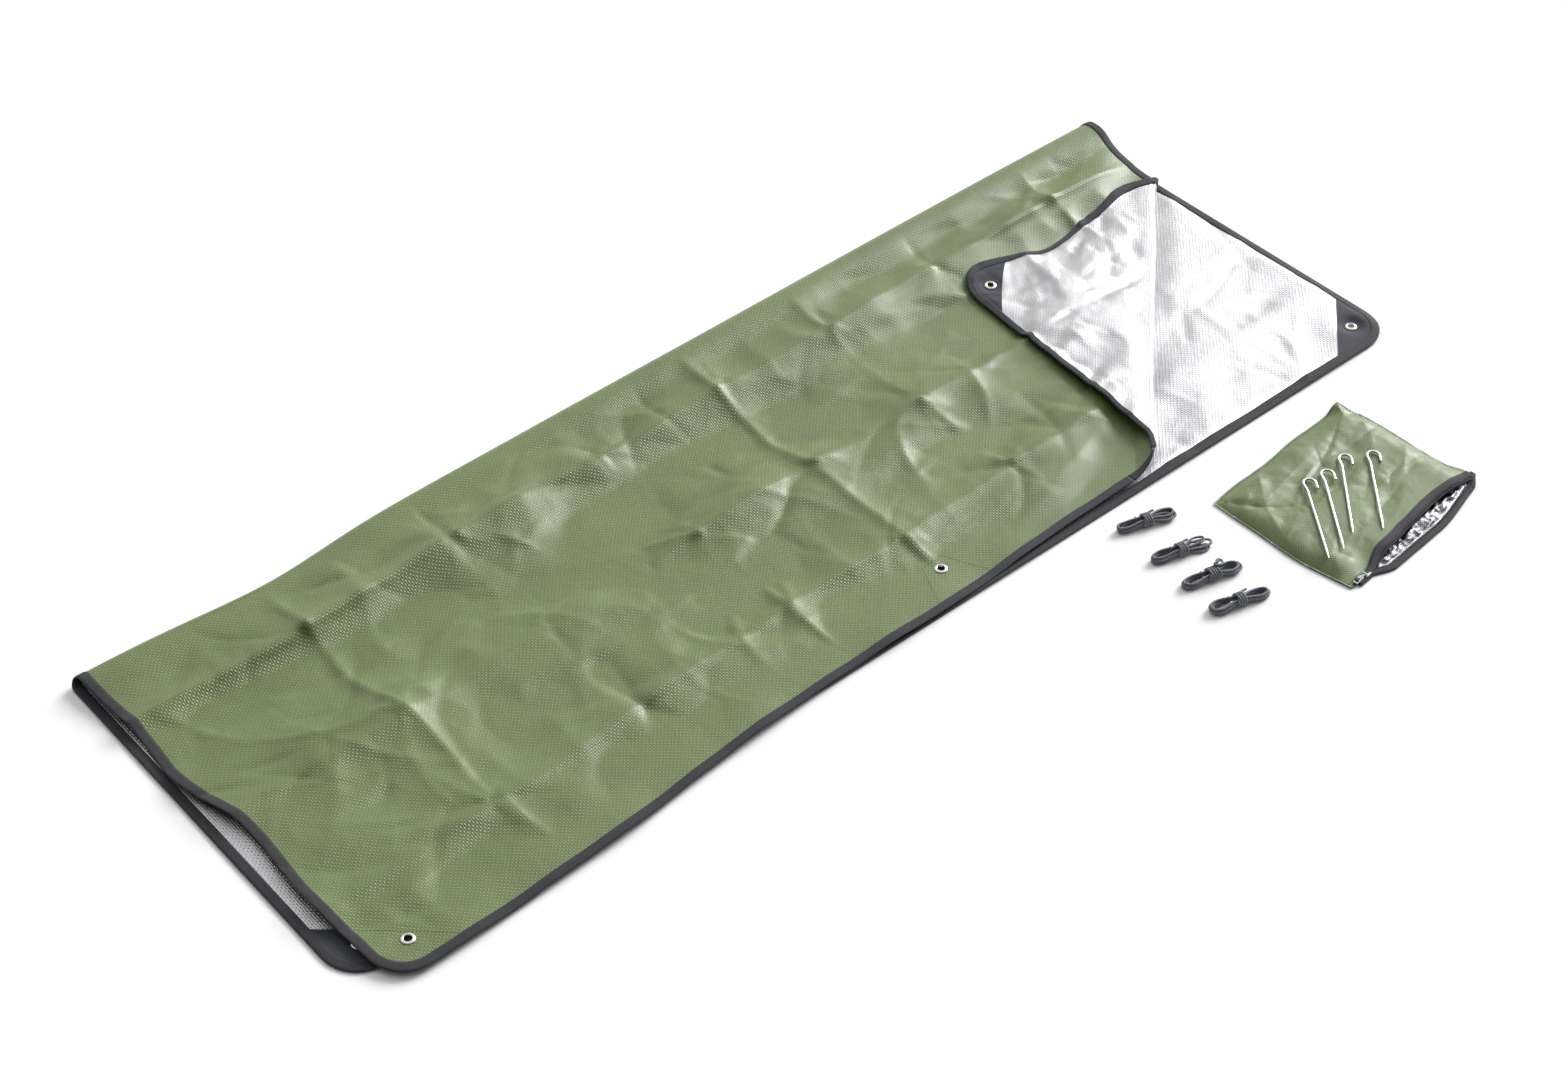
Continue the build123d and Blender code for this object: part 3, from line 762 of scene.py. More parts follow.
def belong(obj, part, node):
    """The piece moves with its part of the object, and stands for its CAD node, if it has one."""
    attach(obj, part)
    if node:
        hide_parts(node)


def bivy_sheets():
    sizes = {"lower": (LENGTH, LOWER_T), "fold": (LENGTH, FOLD_T), "upper": (LENGTH, UPPER_T),
             "crease": (CREASE_LEN, ROLL_B), "flap": (LENGTH - CREASE_S, T2 - CREASE_T)}
    for part, size in sizes.items():
        shell, lining = two_faces(part)
        for obj, node, slot in ((shell, "shell", "green_shell"), (lining, "lining", "foil")):
            belong(obj, part, f"{part}_{node}")


bivy_sheets()


def local_frame(s, t, part, reach=0.003):
    """Point, unit directions along s and t, and the silver side's normal, for arrays of cloth points."""
    s, t = np.asarray(s, float), np.asarray(t, float)
    p = cloth_point(s, t, part)
    ds = cloth_point(s + reach, t, part) - cloth_point(s - reach, t, part)
    dt = cloth_point(s, t + reach, part) - cloth_point(s, t - reach, part)
    ds, dt = unit(ds), unit(dt)
    return p, ds, dt, unit(np.cross(ds, dt))


def resample(points, step):
    """Points along a cloth-space polyline at about the given step, with the inward normal at each."""
    pts = np.array(points, float)
    seg = np.linalg.norm(np.diff(pts, axis=0), axis=1)
    keep = np.concatenate([[True], seg > 1e-7])
    pts = pts[keep]
    run = run_along(pts)
    count = max(2, int(round(run[-1] / step)) + 1)
    at = np.linspace(0, run[-1], count)
    out = np.stack([np.interp(at, run, pts[:, k]) for k in (0, 1)], axis=1)
    way = unit(np.gradient(out, axis=0))
    return out, np.stack([-way[:, 1], way[:, 0]], axis=1), at


def swept(name, rows, uvs, material):
    """Closed mesh from rows of points: each row is one section, joined to the next."""
    bm = bmesh.new()
    uv = bm.loops.layers.uv.new("cloth")
    made = [[bm.verts.new(p) for p in row] for row in rows]
    width = len(rows[0])
    for i in range(len(rows) - 1):
        for j in range(width):
            k = (j + 1) % width
            f = bm.faces.new((made[i][j], made[i][k], made[i + 1][k], made[i + 1][j]))
            span = ((i, j), (i, j + 1), (i + 1, j + 1), (i + 1, j))
            for l, (a, b) in zip(f.loops, span):
                l[uv].uv = (uvs[0][a], uvs[1][b])
    bm.faces.new(made[0][::-1])
    bm.faces.new(made[-1])
    bmesh.ops.recalc_face_normals(bm, faces=bm.faces[:])
    return new_object(name, bm, material)


STITCH_PITCH, STITCH_LENGTH = 0.0052, 0.0034
SEWN_IN = 0.0125              # from the sheet's edge to the binding's stitches
BIND_W = 0.0150
# the binding's section: (in from the edge, up from the middle surface)
BINDING_SECTION = ((BIND_W, 0.0012), (BIND_W - 0.0006, 0.0017), (0.0100, 0.0019), (0.0040, 0.0020),
                   (0.0008, 0.0019), (-0.0006, 0.0012), (-0.0011, 0.0003), (-0.0007, -0.0008),
                   (0.0008, -0.0014), (0.0040, -0.0016), (0.0100, -0.0015), (BIND_W - 0.0006, -0.0013),
                   (BIND_W, -0.0008), (0.0100, -0.0004), (0.0100, 0.0010))
RUNS = {
    "lower": [OUTLINES["lower"]],
    "fold": [[(0, T1), (0, T0)], [(LENGTH, T0), (LENGTH, T1)]],
    "upper": [[(LENGTH, T1), (LENGTH, CREASE_T)], [(CREASE_S, T2)] + FOOT_ARC_UP + [(0, T1)]],
    "crease": [[(LENGTH, CREASE_T), ROLL_HEAD], [ROLL_OPEN, (CREASE_S, T2)]],
    "flap": [[ROLL_HEAD] + HEAD_ARC_UP + [ROLL_OPEN]],
}


def merge(objects, name):
    """One object from several."""
    bm = bmesh.new()
    for o in objects:
        bm.from_mesh(o.data)
    material = objects[0].data.materials[0]
    for o in objects:
        bpy.data.objects.remove(o)
    return new_object(name, bm, material)


def stitch(bm, a, near, far, b, ring):
    """One stitch: a short thread with pointed ends at a and b, and a four-sided ring at near and at far."""
    ends = bm.verts.new(a), bm.verts.new(b)
    near, far = ([bm.verts.new(middle + d) for d in ring] for middle in (near, far))
    for i in range(4):
        j = (i + 1) % 4
        bm.faces.new((ends[0], near[j], near[i]))
        bm.faces.new((near[i], near[j], far[j], far[i]))
        bm.faces.new((ends[1], far[i], far[j]))


def sewn(name, bm, material):
    """The object made of a line of stitches."""
    uv = bm.loops.layers.uv.new("cloth")
    for f in bm.faces:
        for l in f.loops:
            l[uv].uv = (l.vert.co.x + l.vert.co.z, l.vert.co.y)
    bmesh.ops.recalc_face_normals(bm, faces=bm.faces[:])
    return new_object(name, bm, material)


def threads(name, part, path, height, material, radius=0.00035):
    """A line of lockstitch on the sheet: each stitch a short raised thread, dipping at both ends."""
    pts, _, _ = resample(path, STITCH_PITCH)
    way = unit(np.gradient(pts, axis=0))
    lines = []
    for k in (-0.5, 0.0, 0.5):
        q = pts + way * k * STITCH_LENGTH
        p, _, _, n = local_frame(q[:, 0], q[:, 1], part)
        lines.append(p + n * (height + math.copysign(1, height) * radius * (0.8 if k == 0 else -0.9)))
        if k == 0:
            ups = n
    bm = bmesh.new()
    for a, m, b, up in zip(*lines, ups):
        side = unit(np.cross(b - a, up)) * radius
        up = up * radius
        stitch(bm, a, m * 0.6 + a * 0.4, m * 0.6 + b * 0.4, b, (side, up, -side, -up))
    obj = sewn(name, bm, material)
    attach(obj, part)
    return obj


def around(section):
    """Distance round a closed section at each of its points, and back at the first."""
    return run_along(section + section[:1])


def bindings():
    for part, runs in RUNS.items():
        made, stitched = [], []
        for k, run in enumerate(runs):
            pts, inward, at = resample(run, 0.005)
            columns = []
            for depth, height in BINDING_SECTION:
                q = pts + inward * max(depth, 0.0)
                p, ds, dt, n = local_frame(q[:, 0], q[:, 1], part)
                into = ds * inward[:, :1] + dt * inward[:, 1:]
                columns.append(p + n * height + into * min(depth, 0.0))
            rows = np.stack(columns, axis=1)
            made.append(swept(f"{part}_tape_{k}", rows, (at, around(BINDING_SECTION)), BINDING))
            line = pts + inward * SEWN_IN
            for height in (0.0018, -0.0013):
                stitched.append(threads(f"{part}_sewing_{k}_{height > 0:d}", part, line, height, THREAD))
        belong(merge(made, f"{part}_edge_tape"), part, f"{part}_binding")
        belong(merge(stitched, f"{part}_edge_sewing"), part, None)


LEG_S, LEG_T = 0.145, 0.128                        # a corner patch's legs
MID_HALF, MID_TIP, MID_DEPTH = 0.066, 0.022, 0.092    # a middle patch's half widths, and its depth


def corner_patch(s0, t0, corner_arc):
    """Outline of a corner's patch: two legs along the edges and the sheet's own round corner."""
    ends = [(s0, t0 + (-LEG_T if t0 else LEG_T)), (s0 + (-LEG_S if s0 else LEG_S), t0)]
    ends.sort(key=lambda end: math.dist(end, corner_arc[0]))
    return [ends[0]] + corner_arc + [ends[1]]


def mid_patch(s0, t0, side):
    """Outline of the patch at the middle of a long edge, deepest at its eyelet."""
    tip = t0 + side * MID_DEPTH
    return [(s0 - MID_HALF, t0), (s0 + MID_HALF, t0), (s0 + MID_TIP, tip), (s0 - MID_TIP, tip)]


def patches():
    shapes = {
        "lower_foot": corner_patch(0, 0, FOOT_ARC_LOW),
        "lower_head": corner_patch(LENGTH, 0, HEAD_ARC_LOW),
        "lower_mid": mid_patch(EYELETS["lower_mid"][0], 0, 1),
        "upper_foot": corner_patch(0, T2, FOOT_ARC_UP),
        "upper_mid": mid_patch(EYELETS["upper_mid"][0], T2, -1),
        "flap": corner_patch(LENGTH, T2, HEAD_ARC_UP),
    }
    for name, outline in shapes.items():
        part = name.split("_")[0]
        bm = thicken(shaped(flat_piece(part, 0.004, outline), part), PATCH_LOW, PATCH_TOP)
        belong(new_object(f"{name}_reinforcement", bm, PATCH), part, f"{name}_patch")
        line = np.array([outline[0]] + outline[:0:-1] if "mid" in name else [outline[0], outline[-1]], float)
        middle = np.mean(np.array(outline), axis=0)
        line = line + (middle - line) * 0.045
        green = threads(f"{name}_patch_sewing_outer", part, line, GREEN_FACE, THREAD_GREEN, radius=0.0005)
        silver = threads(f"{name}_patch_sewing_inner", part, line, PATCH_TOP, THREAD)


def lathe(name, profile, material, count=40):
    """Ring of metal turned round +Z from (radius, height) pairs, a closed section."""
    bm = bmesh.new()
    rings = [[bm.verts.new((r * math.cos(a), r * math.sin(a), z)) for r, z in profile]
             for a in (math.tau * k / count for k in range(count))]
    width = len(profile)
    for i in range(count):
        for j in range(width):
            a, b = rings[i], rings[(i + 1) % count]
            bm.faces.new((a[j], a[(j + 1) % width], b[(j + 1) % width], b[j]))
    bmesh.ops.recalc_face_normals(bm, faces=bm.faces[:])
    return new_object(name, bm, material)


# eyelet and washer: (radius, height) from the sheet's middle, round each section
FLANGE = ((0.0060, -0.0022), (0.0057, -0.0008), (0.0056, 0.0012), (0.0058, 0.0028), (0.0064, 0.0030),
          (0.0062, 0.0012), (0.0062, -0.0006), (0.0072, -0.0008), (0.0104, -0.0006), (0.0106, -0.0009),
          (0.0098, -0.0016), (0.0082, -0.0023), (0.0068, -0.0026))
WASHER = ((0.0062, 0.0016), (0.0061, 0.0024), (0.0066, 0.0031), (0.0078, 0.0029), (0.0094, 0.0022),
          (0.0102, 0.0016), (0.0101, 0.0013), (0.0080, 0.0014))


def eyelets():
    for key, (s0, t0) in EYELETS.items():
        part = key.split("_")[0]
        p, ds, _, n = local_frame(np.array([s0]), np.array([t0]), part, 0.010)
        x, z = Vector(ds[0]), Vector(n[0])
        place = Matrix((x, z.cross(x), z)).transposed().to_4x4()
        place.translation = Vector(p[0])
        node = "flap" if part == "flap" else key
        for suffix, profile in (("eyelet", FLANGE), ("washer", WASHER)):
            ring = lathe(f"{node}_{suffix}_ring", profile, NICKEL)
            ring.data.transform(place)
            belong(ring, part, f"{node}_{suffix}")


bindings()
patches()
eyelets()

# --- stuff sack ----------------------------------------------------------------------------------------
# (u, v) lie in the sack's own plan: u along its mouth, v towards its closed end
SACK_TURN = math.radians(5)
SACK_AT = Vector((0.678, -0.566))
SACK_TOP = 0.0158
SACK_CORNER = (0.166, 0.1245)           # the back corner by the head end
SACK_RIM = 0.0030                       # height of the closed edges
PEGS_U, PEGS_V = -0.045, -0.022         # middle of where the pegs lie
# pinches in the upper panel: u, v, strength
SACK_STARS = ((0.150, 0.105, 0.0085), (-0.145, -0.085, 0.0050), (0.060, -0.045, 0.0060),
              (-0.150, 0.110, 0.0060))


def sack_world(u, v, z):
    c, w = math.cos(SACK_TURN), math.sin(SACK_TURN)
    return np.stack([SACK_AT.x + u * c - v * w, SACK_AT.y + u * w + v * c, z + 0 * u], axis=-1)


def sack_left(v):
    return -0.1705 - 0.0100 * bump(v, -0.05, 0.075) + 0.004 * bump(v, 0.125, 0.03)


def sack_right(v):
    return 0.1660 + 0.0035 * np.sin(v * 24.0) + 0.006 * bump(v, -0.115, 0.02)


def sack_back(u):
    return 0.1245 + 0.0016 * np.sin(u * 40.0) + 0.003 * bump(u, 0.150, 0.02)


def mouth_top(u):
    """Front edge of the upper panel, and its height."""
    v = -0.1405 + 0.0150 * smooth(-0.135, -0.080, u) + 0.0100 * bump(u, 0.070, 0.075)
    v = v + 0.002 * bump(u, -0.02, 0.02)
    z = 0.0055 + 0.0115 * smooth(-0.140, -0.065, u) * (1 - 0.45 * smooth(0.115, 0.165, u))
    return v, z + 0.0008 * np.sin(u * 70.0)


def mouth_low(u):
    """Front edge of the lower panel, and its height."""
    bow = smooth(-0.140, -0.085, u) * (1 - smooth(0.03, 0.172, u))
    return -0.1430 - 0.0190 * bow + 0.014 * smooth(0.145, 0.175, u), 0.0040 + 0.0050 * smooth(0.135, 0.172, u)


def from_edges(u, v):
    """Distance from the sack's nearest closed edge."""
    return np.minimum(np.minimum(u - sack_left(v), sack_right(v) - u), sack_back(u) - v)


def sack_plan(a, b, front):
    """Plan of a panel from its own 0 to 1 square."""
    u = -0.1705 + 0.3365 * a
    v0, v1 = front(u)[0], sack_back(u)
    v = v0 + (v1 - v0) * b
    left, right = sack_left(v), sack_right(v)
    u = left + (right - left) * a
    v0, v1 = front(u)[0], sack_back(u)
    return u, v0 + (v1 - v0) * b


def folded_tab(u, v, z):
    """The back corner by the head end stands up in a small fold."""
    k = smooth(0.052, 0.0, np.hypot(u - SACK_CORNER[0], v - SACK_CORNER[1]))
    return u - 0.012 * k, v - 0.004 * k, z + 0.013 * k * k


def sack_top(a, b):
    u, v = sack_plan(a, b, mouth_top)
    rim = from_edges(u, v)
    crown = np.sqrt(np.clip(1 - (1 - smooth(0.003, 0.052, rim)) ** 2, 0, 1))
    z = SACK_RIM + (SACK_TOP - SACK_RIM) * crown
    edge, front = mouth_top(u)
    k = smooth(0.050, 0.0, v - edge)
    z = blend(z, 0.0035 + (front - 0.0035) * smooth(0.0, 0.030, rim), k)
    free = crown * (1 - k)
    own = 0.0016 * NOISE[1](u, v, 0.060) + 0.0009 * NOISE[4](u, v, 0.024) + 0.0004 * NOISE[6](u, v, 0.011)
    draw = random.Random(77)
    for at_u, at_v, strength in SACK_STARS:
        own = own + star(u, v, at_u, at_v, strength, draw)
    own = own + wrinkles(u, v, 70, 13, 0.0026, (-0.17, -0.12), (0.17, 0.12))
    bowed = np.abs(np.hypot(u + 0.010, v - 0.150) - 0.150)      # a long curved fold towards the foot end
    own = own - 0.0030 * np.exp(-bowed / 0.007) * smooth(0.10, -0.10, u)
    z = z + own * (0.25 + 0.75 * free)
    z = np.minimum(z, 0.0159 + 0.0012 * np.tanh((z - 0.0159) / 0.002))
    under_pegs = smooth(0.165, 0.135, np.abs(u - PEGS_U)) * smooth(0.10, 0.07, np.abs(v - PEGS_V))
    z = blend(z, np.minimum(z, 0.0160), under_pegs)
    return folded_tab(u, v, np.maximum(z, 0.0028))


def sack_base(a, b):
    u, v = sack_plan(a, b, mouth_low)
    rim = from_edges(u, v)
    z = 0.0008 + 0.0012 * smooth(0.012, 0.0, rim) + 0.0006 * (1 + NOISE[5](u, v, 0.03))
    edge, front = mouth_low(u)
    return folded_tab(u, v, blend(z, front - 0.0012, smooth(0.020, 0.0, v - edge)))


def crumpled(u, v):
    """Thin foil film that has been crushed: flat facets between sharp creases."""
    big = np.abs(NOISE[0](u, v, 0.017)) + 0.6 * np.abs(NOISE[3](u, v * 1.2, 0.009))
    return 0.0050 * (0.9 - big) + 0.0010 * NOISE[5](u, v, 0.005)


def sack_base_lining(a, b):
    u, v = sack_plan(a, b * 0.85, mouth_low)
    k = smooth(0.010, 0.017, v - mouth_low(u)[0]) * smooth(0.0, 0.02, u - sack_left(v)) \
        * smooth(0.0, 0.02, sack_right(v) - u)
    top = sack_roof(u, v) - 0.0032
    z = 0.0030 + k * np.clip(crumpled(u, v) + 0.0016, 0, None)
    return u, v, np.where(v > mouth_top(u)[0] - 0.004, np.minimum(z, np.maximum(top, 0.0030)), z)


def sack_roof(u, v):
    """About how high the upper panel lies over a plan point."""
    rim = from_edges(u, v)
    edge, front = mouth_top(u)
    z = SACK_RIM + (0.0135 - SACK_RIM) * smooth(0.003, 0.052, rim)
    return blend(z, 0.0035 + (front - 0.0035) * smooth(0.0, 0.030, rim), smooth(0.050, 0.0, v - edge))


def sack_top_lining(a, b):
    u, v, z = sack_top(0.02 + 0.96 * a, 0.004 + b * 0.84)
    return u, v, np.maximum(z - 0.0014, 0.0024)


def panel(name, shape, na, nb, thickness, material):
    """A cloth panel over the 0 to 1 square, with its own cloth coordinates."""
    a, b = np.meshgrid(np.linspace(0, 1, na), np.linspace(0, 1, nb), indexing="ij")
    u, v, z = shape(a, b)
    points = sack_world(u, v, z)
    bm = bmesh.new()
    made = [[bm.verts.new(p) for p in row] for row in points]
    uv = bm.loops.layers.uv.new("cloth")
    for i in range(na - 1):
        for j in range(nb - 1):
            f = bm.faces.new((made[i][j], made[i + 1][j], made[i + 1][j + 1], made[i][j + 1]))
            for l, (p, q) in zip(f.loops, ((i, j), (i + 1, j), (i + 1, j + 1), (i, j + 1))):
                l[uv].uv = (u[p, q], v[p, q])
    return new_object(name, thicken(bm, -thickness, 0.0), material)


def edge_band(name, section, us, edge, material):
    """A tape along one edge of the mouth; section gives (out of the mouth, up) at each step across."""
    v, z = edge(us)
    rows = np.stack([sack_world(us, v - out, z + up) for out, up in section], axis=1)
    return swept(name, rows, (us, around(section)), material)


COIL_R, COIL_PITCH, COIL_WIRE = 0.0011, 0.0014, 0.00042


def coil(name, start, end, edge, out, up, material):
    """The zip's coil: one plastic filament wound along the tape's edge, a little flattened."""
    turns = int((end - start) / COIL_PITCH)
    count = turns * 9
    a = np.linspace(0, turns * math.tau, count)
    u = np.linspace(start, end, count)
    v, z = edge(u)
    core = sack_world(u, v - out - COIL_R * np.cos(a) * 1.3, z + up + COIL_R * np.sin(a))
    way = unit(np.gradient(core, axis=0))
    side = unit(np.cross(way, np.array([0.3, 0.2, 0.93])))
    top = np.cross(side, way)
    rows = np.stack([core + COIL_WIRE * (math.cos(q) * side + math.sin(q) * top)
                     for q in (math.tau * k / 5 for k in range(5))], axis=1)
    return swept(name, rows, (u, np.arange(6) * 0.0005), material)


def rider(obj, node):
    """A piece of the stuff sack."""
    belong(obj, "stuff_sack", node)


UPPER_TAPE = ((-0.004, 0.0006), (0.0010, 0.0010), (0.0050, -0.0005), (0.0105, -0.0034),
              (0.0103, -0.0041), (0.0046, -0.0013), (0.0008, -0.0006), (-0.004, -0.0011))
LOWER_TAPE = ((-0.007, -0.0003), (-0.001, 0.0006), (0.0040, -0.0004), (0.0045, -0.0018),
              (0.0035, -0.0030), (0.0020, -0.0026), (0.0024, -0.0014), (-0.007, -0.0009))


def stuff_sack():
    fine = 1
    woven, film = (0.0004, SACK_GREEN, "green_shell"), (0.0002, SACK_FOIL, "foil")
    panels = (  # piece, node, surface, its grid, make-up, flat size
        ("sack_upper_panel", "sack_upper", sack_top, (181 // fine, 141 // fine), woven, (0.337, 0.262)),
        ("sack_lower_panel", "sack_lower", sack_base, (61, 47), woven, (0.337, 0.262)),
        ("sack_lower_foil", "sack_lower_lining", sack_base_lining, (221 // fine, 151 // fine), film,
         (0.337, 0.235)),
        ("sack_upper_foil", "sack_upper_lining", sack_top_lining, (91, 71), film, (0.325, 0.222)))
    for name, node, surface, grid, (thickness, material, slot), flat in panels:
        obj = panel(name, surface, *grid, thickness, material)
        rider(obj, node)
    mouth = (  # side, edge; the tape's section and end; the coil's place across the edge, height and end
        ("upper", mouth_top, UPPER_TAPE, 0.163, 0.0112, -0.0040, 0.158),
        ("lower", mouth_low, LOWER_TAPE, 0.170, -0.0075, -0.0006, 0.163))
    for side, edge, section, end, *_ in mouth:
        rider(edge_band(f"sack_{side}_tape", section, np.linspace(-0.158, end, 90), edge, ZIP_TAPE),
              f"sack_{side}_zip_tape")
    for side, edge, _, _, out, up, end in mouth:
        rider(coil(f"sack_{side}_coil", -0.120, end, edge, out, up, ZIP_COIL),
              f"sack_{side}_zip_coil")
    seams()


SEAM_PITCH = 0.0042
SEAM_R = 0.0004


def seams():
    """Stitching round the sack's three closed sides and beside the zip."""
    a = np.linspace(0.012, 0.988, 150)
    lines = {"back": (a, 0 * a + 0.986), "front": (a, 0 * a + 0.020),
             "left": (0 * a + 0.012, a), "right": (0 * a + 0.988, a)}
    rise = np.array((0, 0, SEAM_R))
    for name, (la, lb) in lines.items():
        u, v, z = sack_top(la, lb)
        p = sack_world(u, v, z + 0.0003)
        run = run_along(p)
        bm = bmesh.new()
        for k in range(int(run[-1] / SEAM_PITCH)):
            at = (k + np.array([0.14, 0.30, 0.62, 0.78])) * SEAM_PITCH
            q = np.stack([np.interp(at, run, p[:, i]) for i in range(3)], axis=1)
            q[1:3, 2] += 0.0003
            side = np.cross(unit(q[3] - q[0]), (0, 0, 1)) * SEAM_R
            stitch(bm, *q, (side, rise, -side, -rise))
        rider(sewn(f"sack_seam_{name}", bm, THREAD_GREEN), None)


# --- guy lines -----------------------------------------------------------------------------------------
CORD_D = 0.0040
HANKS = {
    # node: x, y, turn, lobe width at each end, how far the right end's loops spread, seed
    "guy_line_1": (0.390, -0.419, -17.0, 0.82, 1.05, 0.4, 4),
    "guy_line_2": (0.382, -0.500, -15.5, 0.90, 0.80, 1.0, 9),
    "guy_line_3": (0.377, -0.568, -14.0, 1.00, 1.20, 0.1, 17),
    "guy_line_4": (0.3685, -0.633, -16.5, 1.25, 0.95, 0.1, 23),
}
# each loop: half width at the middle and at its ends, half length, height at the middle and at the ends
LANES = ((0.0020, 0.0062, 0.0430, 0.0062, 0.0023), (0.0060, 0.0112, 0.0500, 0.0062, 0.0023),
         (0.0022, 0.0078, 0.0455, 0.0102, 0.0060), (0.0064, 0.0122, 0.0525, 0.0102, 0.0060),
         (0.0040, 0.0098, 0.0490, 0.0136, 0.0096))
POINTS_A_TURN = 16
KNOTTED = 17                  # seed of the hank whose free end is tucked back over its lashing


def hank_route(left, right, spread, seed):
    """Flat loops laid on each other, then the free end wound round their middle."""
    draw = random.Random(seed)
    points = [(-0.016, 0.0085, 0.0128)]
    for k, (mid_y, lobe_y, reach, mid_z, lobe_z) in enumerate(LANES):
        ends = [reach * draw.uniform(0.95, 1.04), reach * draw.uniform(0.95, 1.04)]
        ends[1] = ends[1] * (1 - 0.10 * spread * (k % 3))
        fan = spread * draw.uniform(-0.007, 0.007)
        for i in range(POINTS_A_TURN):
            angle = math.pi / 2 + math.tau * (i + 0.5) / POINTS_A_TURN
            c, w = math.cos(angle), math.sin(angle)
            x = math.copysign(abs(c) ** 0.8, c) * (ends[1] if c > 0 else ends[0])
            lobe = float(smooth(0.10, 0.62, abs(c)))
            wide = lobe_y * (right if c > 0 else left) + draw.uniform(-0.0006, 0.0006)
            y = math.copysign(abs(w) ** 0.65, w) * (mid_y + (wide - mid_y) * lobe)
            y += fan * lobe * (1.0 if c > 0 else 0.25)
            z = mid_z + (lobe_z - mid_z) * lobe + lobe * draw.uniform(0.0, 0.0012)
            points.append((x, y, z))
    turns = 4.2 if seed == KNOTTED else 3.6
    for i in range(int(turns * 12) + 1):
        angle = -0.9 - math.tau * i / 12
        x = -0.0078 + 0.0044 * i / 12 + draw.uniform(-0.0003, 0.0003)
        points.append((x, 0.0108 * math.sin(angle), 0.0094 + 0.0078 * math.cos(angle)))
    if seed == KNOTTED:
        points += [(0.0130, 0.0080, 0.0190), (0.0170, 0.0150, 0.0185), (0.0240, 0.0150, 0.0170),
                   (0.0240, 0.0060, 0.0170), (0.0160, 0.0020, 0.0190), (0.0060, 0.0050, 0.0205)]
    x, y, z = points[-1]
    return points + [(x + 0.004, y + 0.003, z + 0.0012), (x + 0.012, y + 0.0045, z + 0.0005)]


def guy_lines():
    for node, (x0, y0, turn, left, right, spread, seed) in HANKS.items():
        route = hank_route(left, right, spread, seed)
        c, w = math.cos(math.radians(turn)), math.sin(math.radians(turn))
        world = [(x0 + x * c - y * w, y0 + x * w + y * c, max(z, CORD_D / 2 + 0.0001)) for x, y, z in route]
        data = bpy.data.curves.new(f"{node}_cord", "CURVE")
        data.dimensions = "3D"
        data.resolution_u = 4
        data.bevel_depth = 1.0              # times each point's radius
        data.bevel_resolution = 3
        data.use_fill_caps = True
        line = data.splines.new("NURBS")
        line.points.add(len(world) - 1)
        for point, co in zip(line.points, world):
            point.co = (*co, 1.0)
            point.radius = CORD_D / 2
        line.order_u = 3
        line.use_endpoint_u = True
        data.materials.append(CORD)
        obj = bpy.data.objects.new(f"{node}_cord", data)
        bpy.context.scene.collection.objects.link(obj)
        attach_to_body(obj, node)
        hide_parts(node)
        spline_length(obj)


def spline_length(obj):
    """Length of a curve's centreline."""
    bevel = obj.data.bevel_depth
    obj.data.bevel_depth = 0.0
    bpy.context.view_layer.update()
    mesh = bpy.data.meshes.new_from_object(obj.evaluated_get(bpy.context.evaluated_depsgraph_get()))
    co = np.array([v.co[:] for v in mesh.vertices])
    obj.data.bevel_depth = bevel
    bpy.data.meshes.remove(mesh)
    return round(float(run_along(co)[-1]), 3)


SACK_GREEN = green_cloth("sack_cloth", (0.102, 0.160, 0.030), (0.138, 0.202, 0.048), 0.0024)
# painted shade: the sack's lining is a much darker copy of the bivy's foil, for the shade inside the sack's
# mouth
SACK_FOIL = foil("sack_foil", 0.0022, 0.20, (0.13, 0.13, 0.14), (0.36, 0.36, 0.37))
ZIP_TAPE = tape("zip_tape", (0.014, 0.014, 0.017), (0.032, 0.032, 0.038), 0.0009)
ZIP_COIL = moulded("zip_coil", (0.012, 0.012, 0.014), (0.030, 0.030, 0.034))
CORD = braid()
stuff_sack()
guy_lines()


def dress(names, material):
    """A better material on CAD nodes that keep their shape."""
    for name in names:
        for slot_ in bpy.data.objects[name].material_slots:
            slot_.material = material


PEG = metal("galvanised_wire", (0.60, 0.60, 0.60), (0.86, 0.86, 0.85), 0.26, 160.0)
ZINC = metal("zinc_slider", (0.30, 0.30, 0.31), (0.52, 0.52, 0.52), 0.24, 260.0)
dress([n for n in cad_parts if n.startswith("peg_")], PEG)
dress([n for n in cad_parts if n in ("zip_slider", "zip_pull", "zip_stops")], ZINC)


# --- stage -------------------------------------------------------------------------------------------
CAMERA_AIM = Vector((-0.058, -0.080, 0.0))
CAMERA_PLACE = Vector((-2.0422, -2.4060, 2.8616))
CAMERA_ROLL = 0.27                      # degrees
SKY_BRIGHT = Vector((0.55, 0.62, 0.62))
SKY_STOPS = ((0.48, (0.09, 0.09, 0.10)), (0.92, (1, 1, 1)))
SKY_STRENGTH = 1.08
SUN_TOWARDS, SUN_STRENGTH, SUN_ANGLE = (0.96, 0.10, 0.48), 3.9, 34


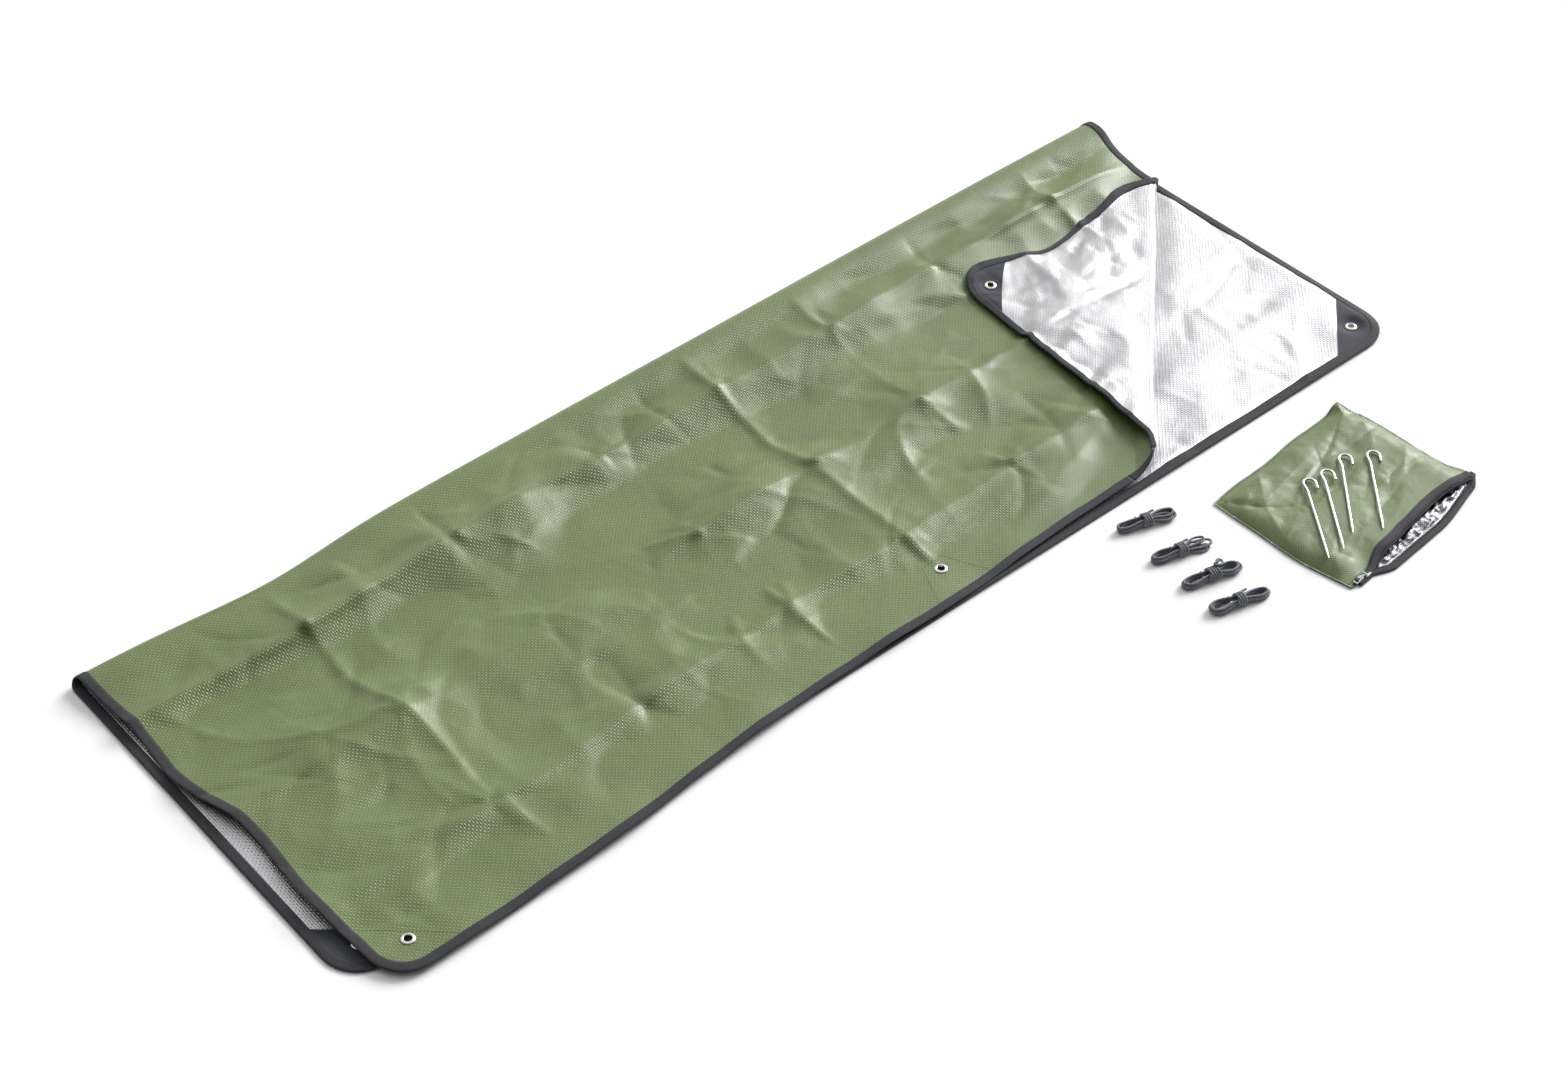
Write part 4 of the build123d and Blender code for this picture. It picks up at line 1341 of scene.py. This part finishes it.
def camera():
    data = bpy.data.cameras.new("camera")
    data.lens = 62.4
    data.sensor_width = 36.0
    obj = bpy.data.objects.new("camera", data)
    obj.location = CAMERA_PLACE
    look = (CAMERA_AIM - CAMERA_PLACE).to_track_quat("-Z", "Y").to_matrix().to_4x4()
    obj.rotation_euler = (look @ Matrix.Rotation(math.radians(-CAMERA_ROLL), 4, "Z")).to_euler()
    bpy.context.scene.collection.objects.link(obj)
    bpy.context.scene.camera = obj


def sky():
    """A white cove: bright above and behind the object, dimmer on the viewer's side."""
    world = bpy.data.worlds.new("studio")
    world.use_nodes = True
    tree = world.node_tree
    where = tree.nodes.new("ShaderNodeTexCoord")
    facing = tree.nodes.new("ShaderNodeVectorMath")
    facing.operation = "DOT_PRODUCT"
    facing.inputs[1].default_value = SKY_BRIGHT.normalized()
    shift = tree.nodes.new("ShaderNodeMath")
    shift.operation = "MULTIPLY_ADD"
    shift.inputs[1].default_value = shift.inputs[2].default_value = 0.5
    ramp = tree.nodes.new("ShaderNodeValToRGB")
    for stop, (position, colour) in zip(ramp.color_ramp.elements, SKY_STOPS):
        stop.position, stop.color = position, (*colour, 1)
    back = tree.nodes["Background"]
    back.inputs["Strength"].default_value = SKY_STRENGTH
    tree.links.new(where.outputs["Generated"], facing.inputs[0])
    tree.links.new(facing.outputs["Value"], shift.inputs[0])
    tree.links.new(shift.outputs[0], ramp.inputs[0])
    tree.links.new(ramp.outputs[0], back.inputs["Color"])
    bpy.context.scene.world = world


def sun():
    data = bpy.data.lights.new("key", "SUN")
    data.energy = SUN_STRENGTH
    data.angle = math.radians(SUN_ANGLE)
    obj = bpy.data.objects.new("key", data)
    obj.rotation_euler = Vector(SUN_TOWARDS).to_track_quat("Z", "Y").to_euler()
    bpy.context.scene.collection.objects.link(obj)


def studio():
    bpy.context.scene.view_settings.view_transform = "Standard"
    sky()
    sun()
    n = Nodes("paper", Roughness=0.9)
    n.set(Base_Color=n.ramp(n.noise(n.place(), 3.0), [(0.3, (0.90, 0.90, 0.90)), (0.7, (0.92, 0.92, 0.92))]))
    bm = bmesh.new()
    bmesh.ops.create_grid(bm, x_segments=1, y_segments=1, size=30)
    floor = new_object("floor", bm, n.mat)


camera()
studio()

bpy.context.view_layer.update()
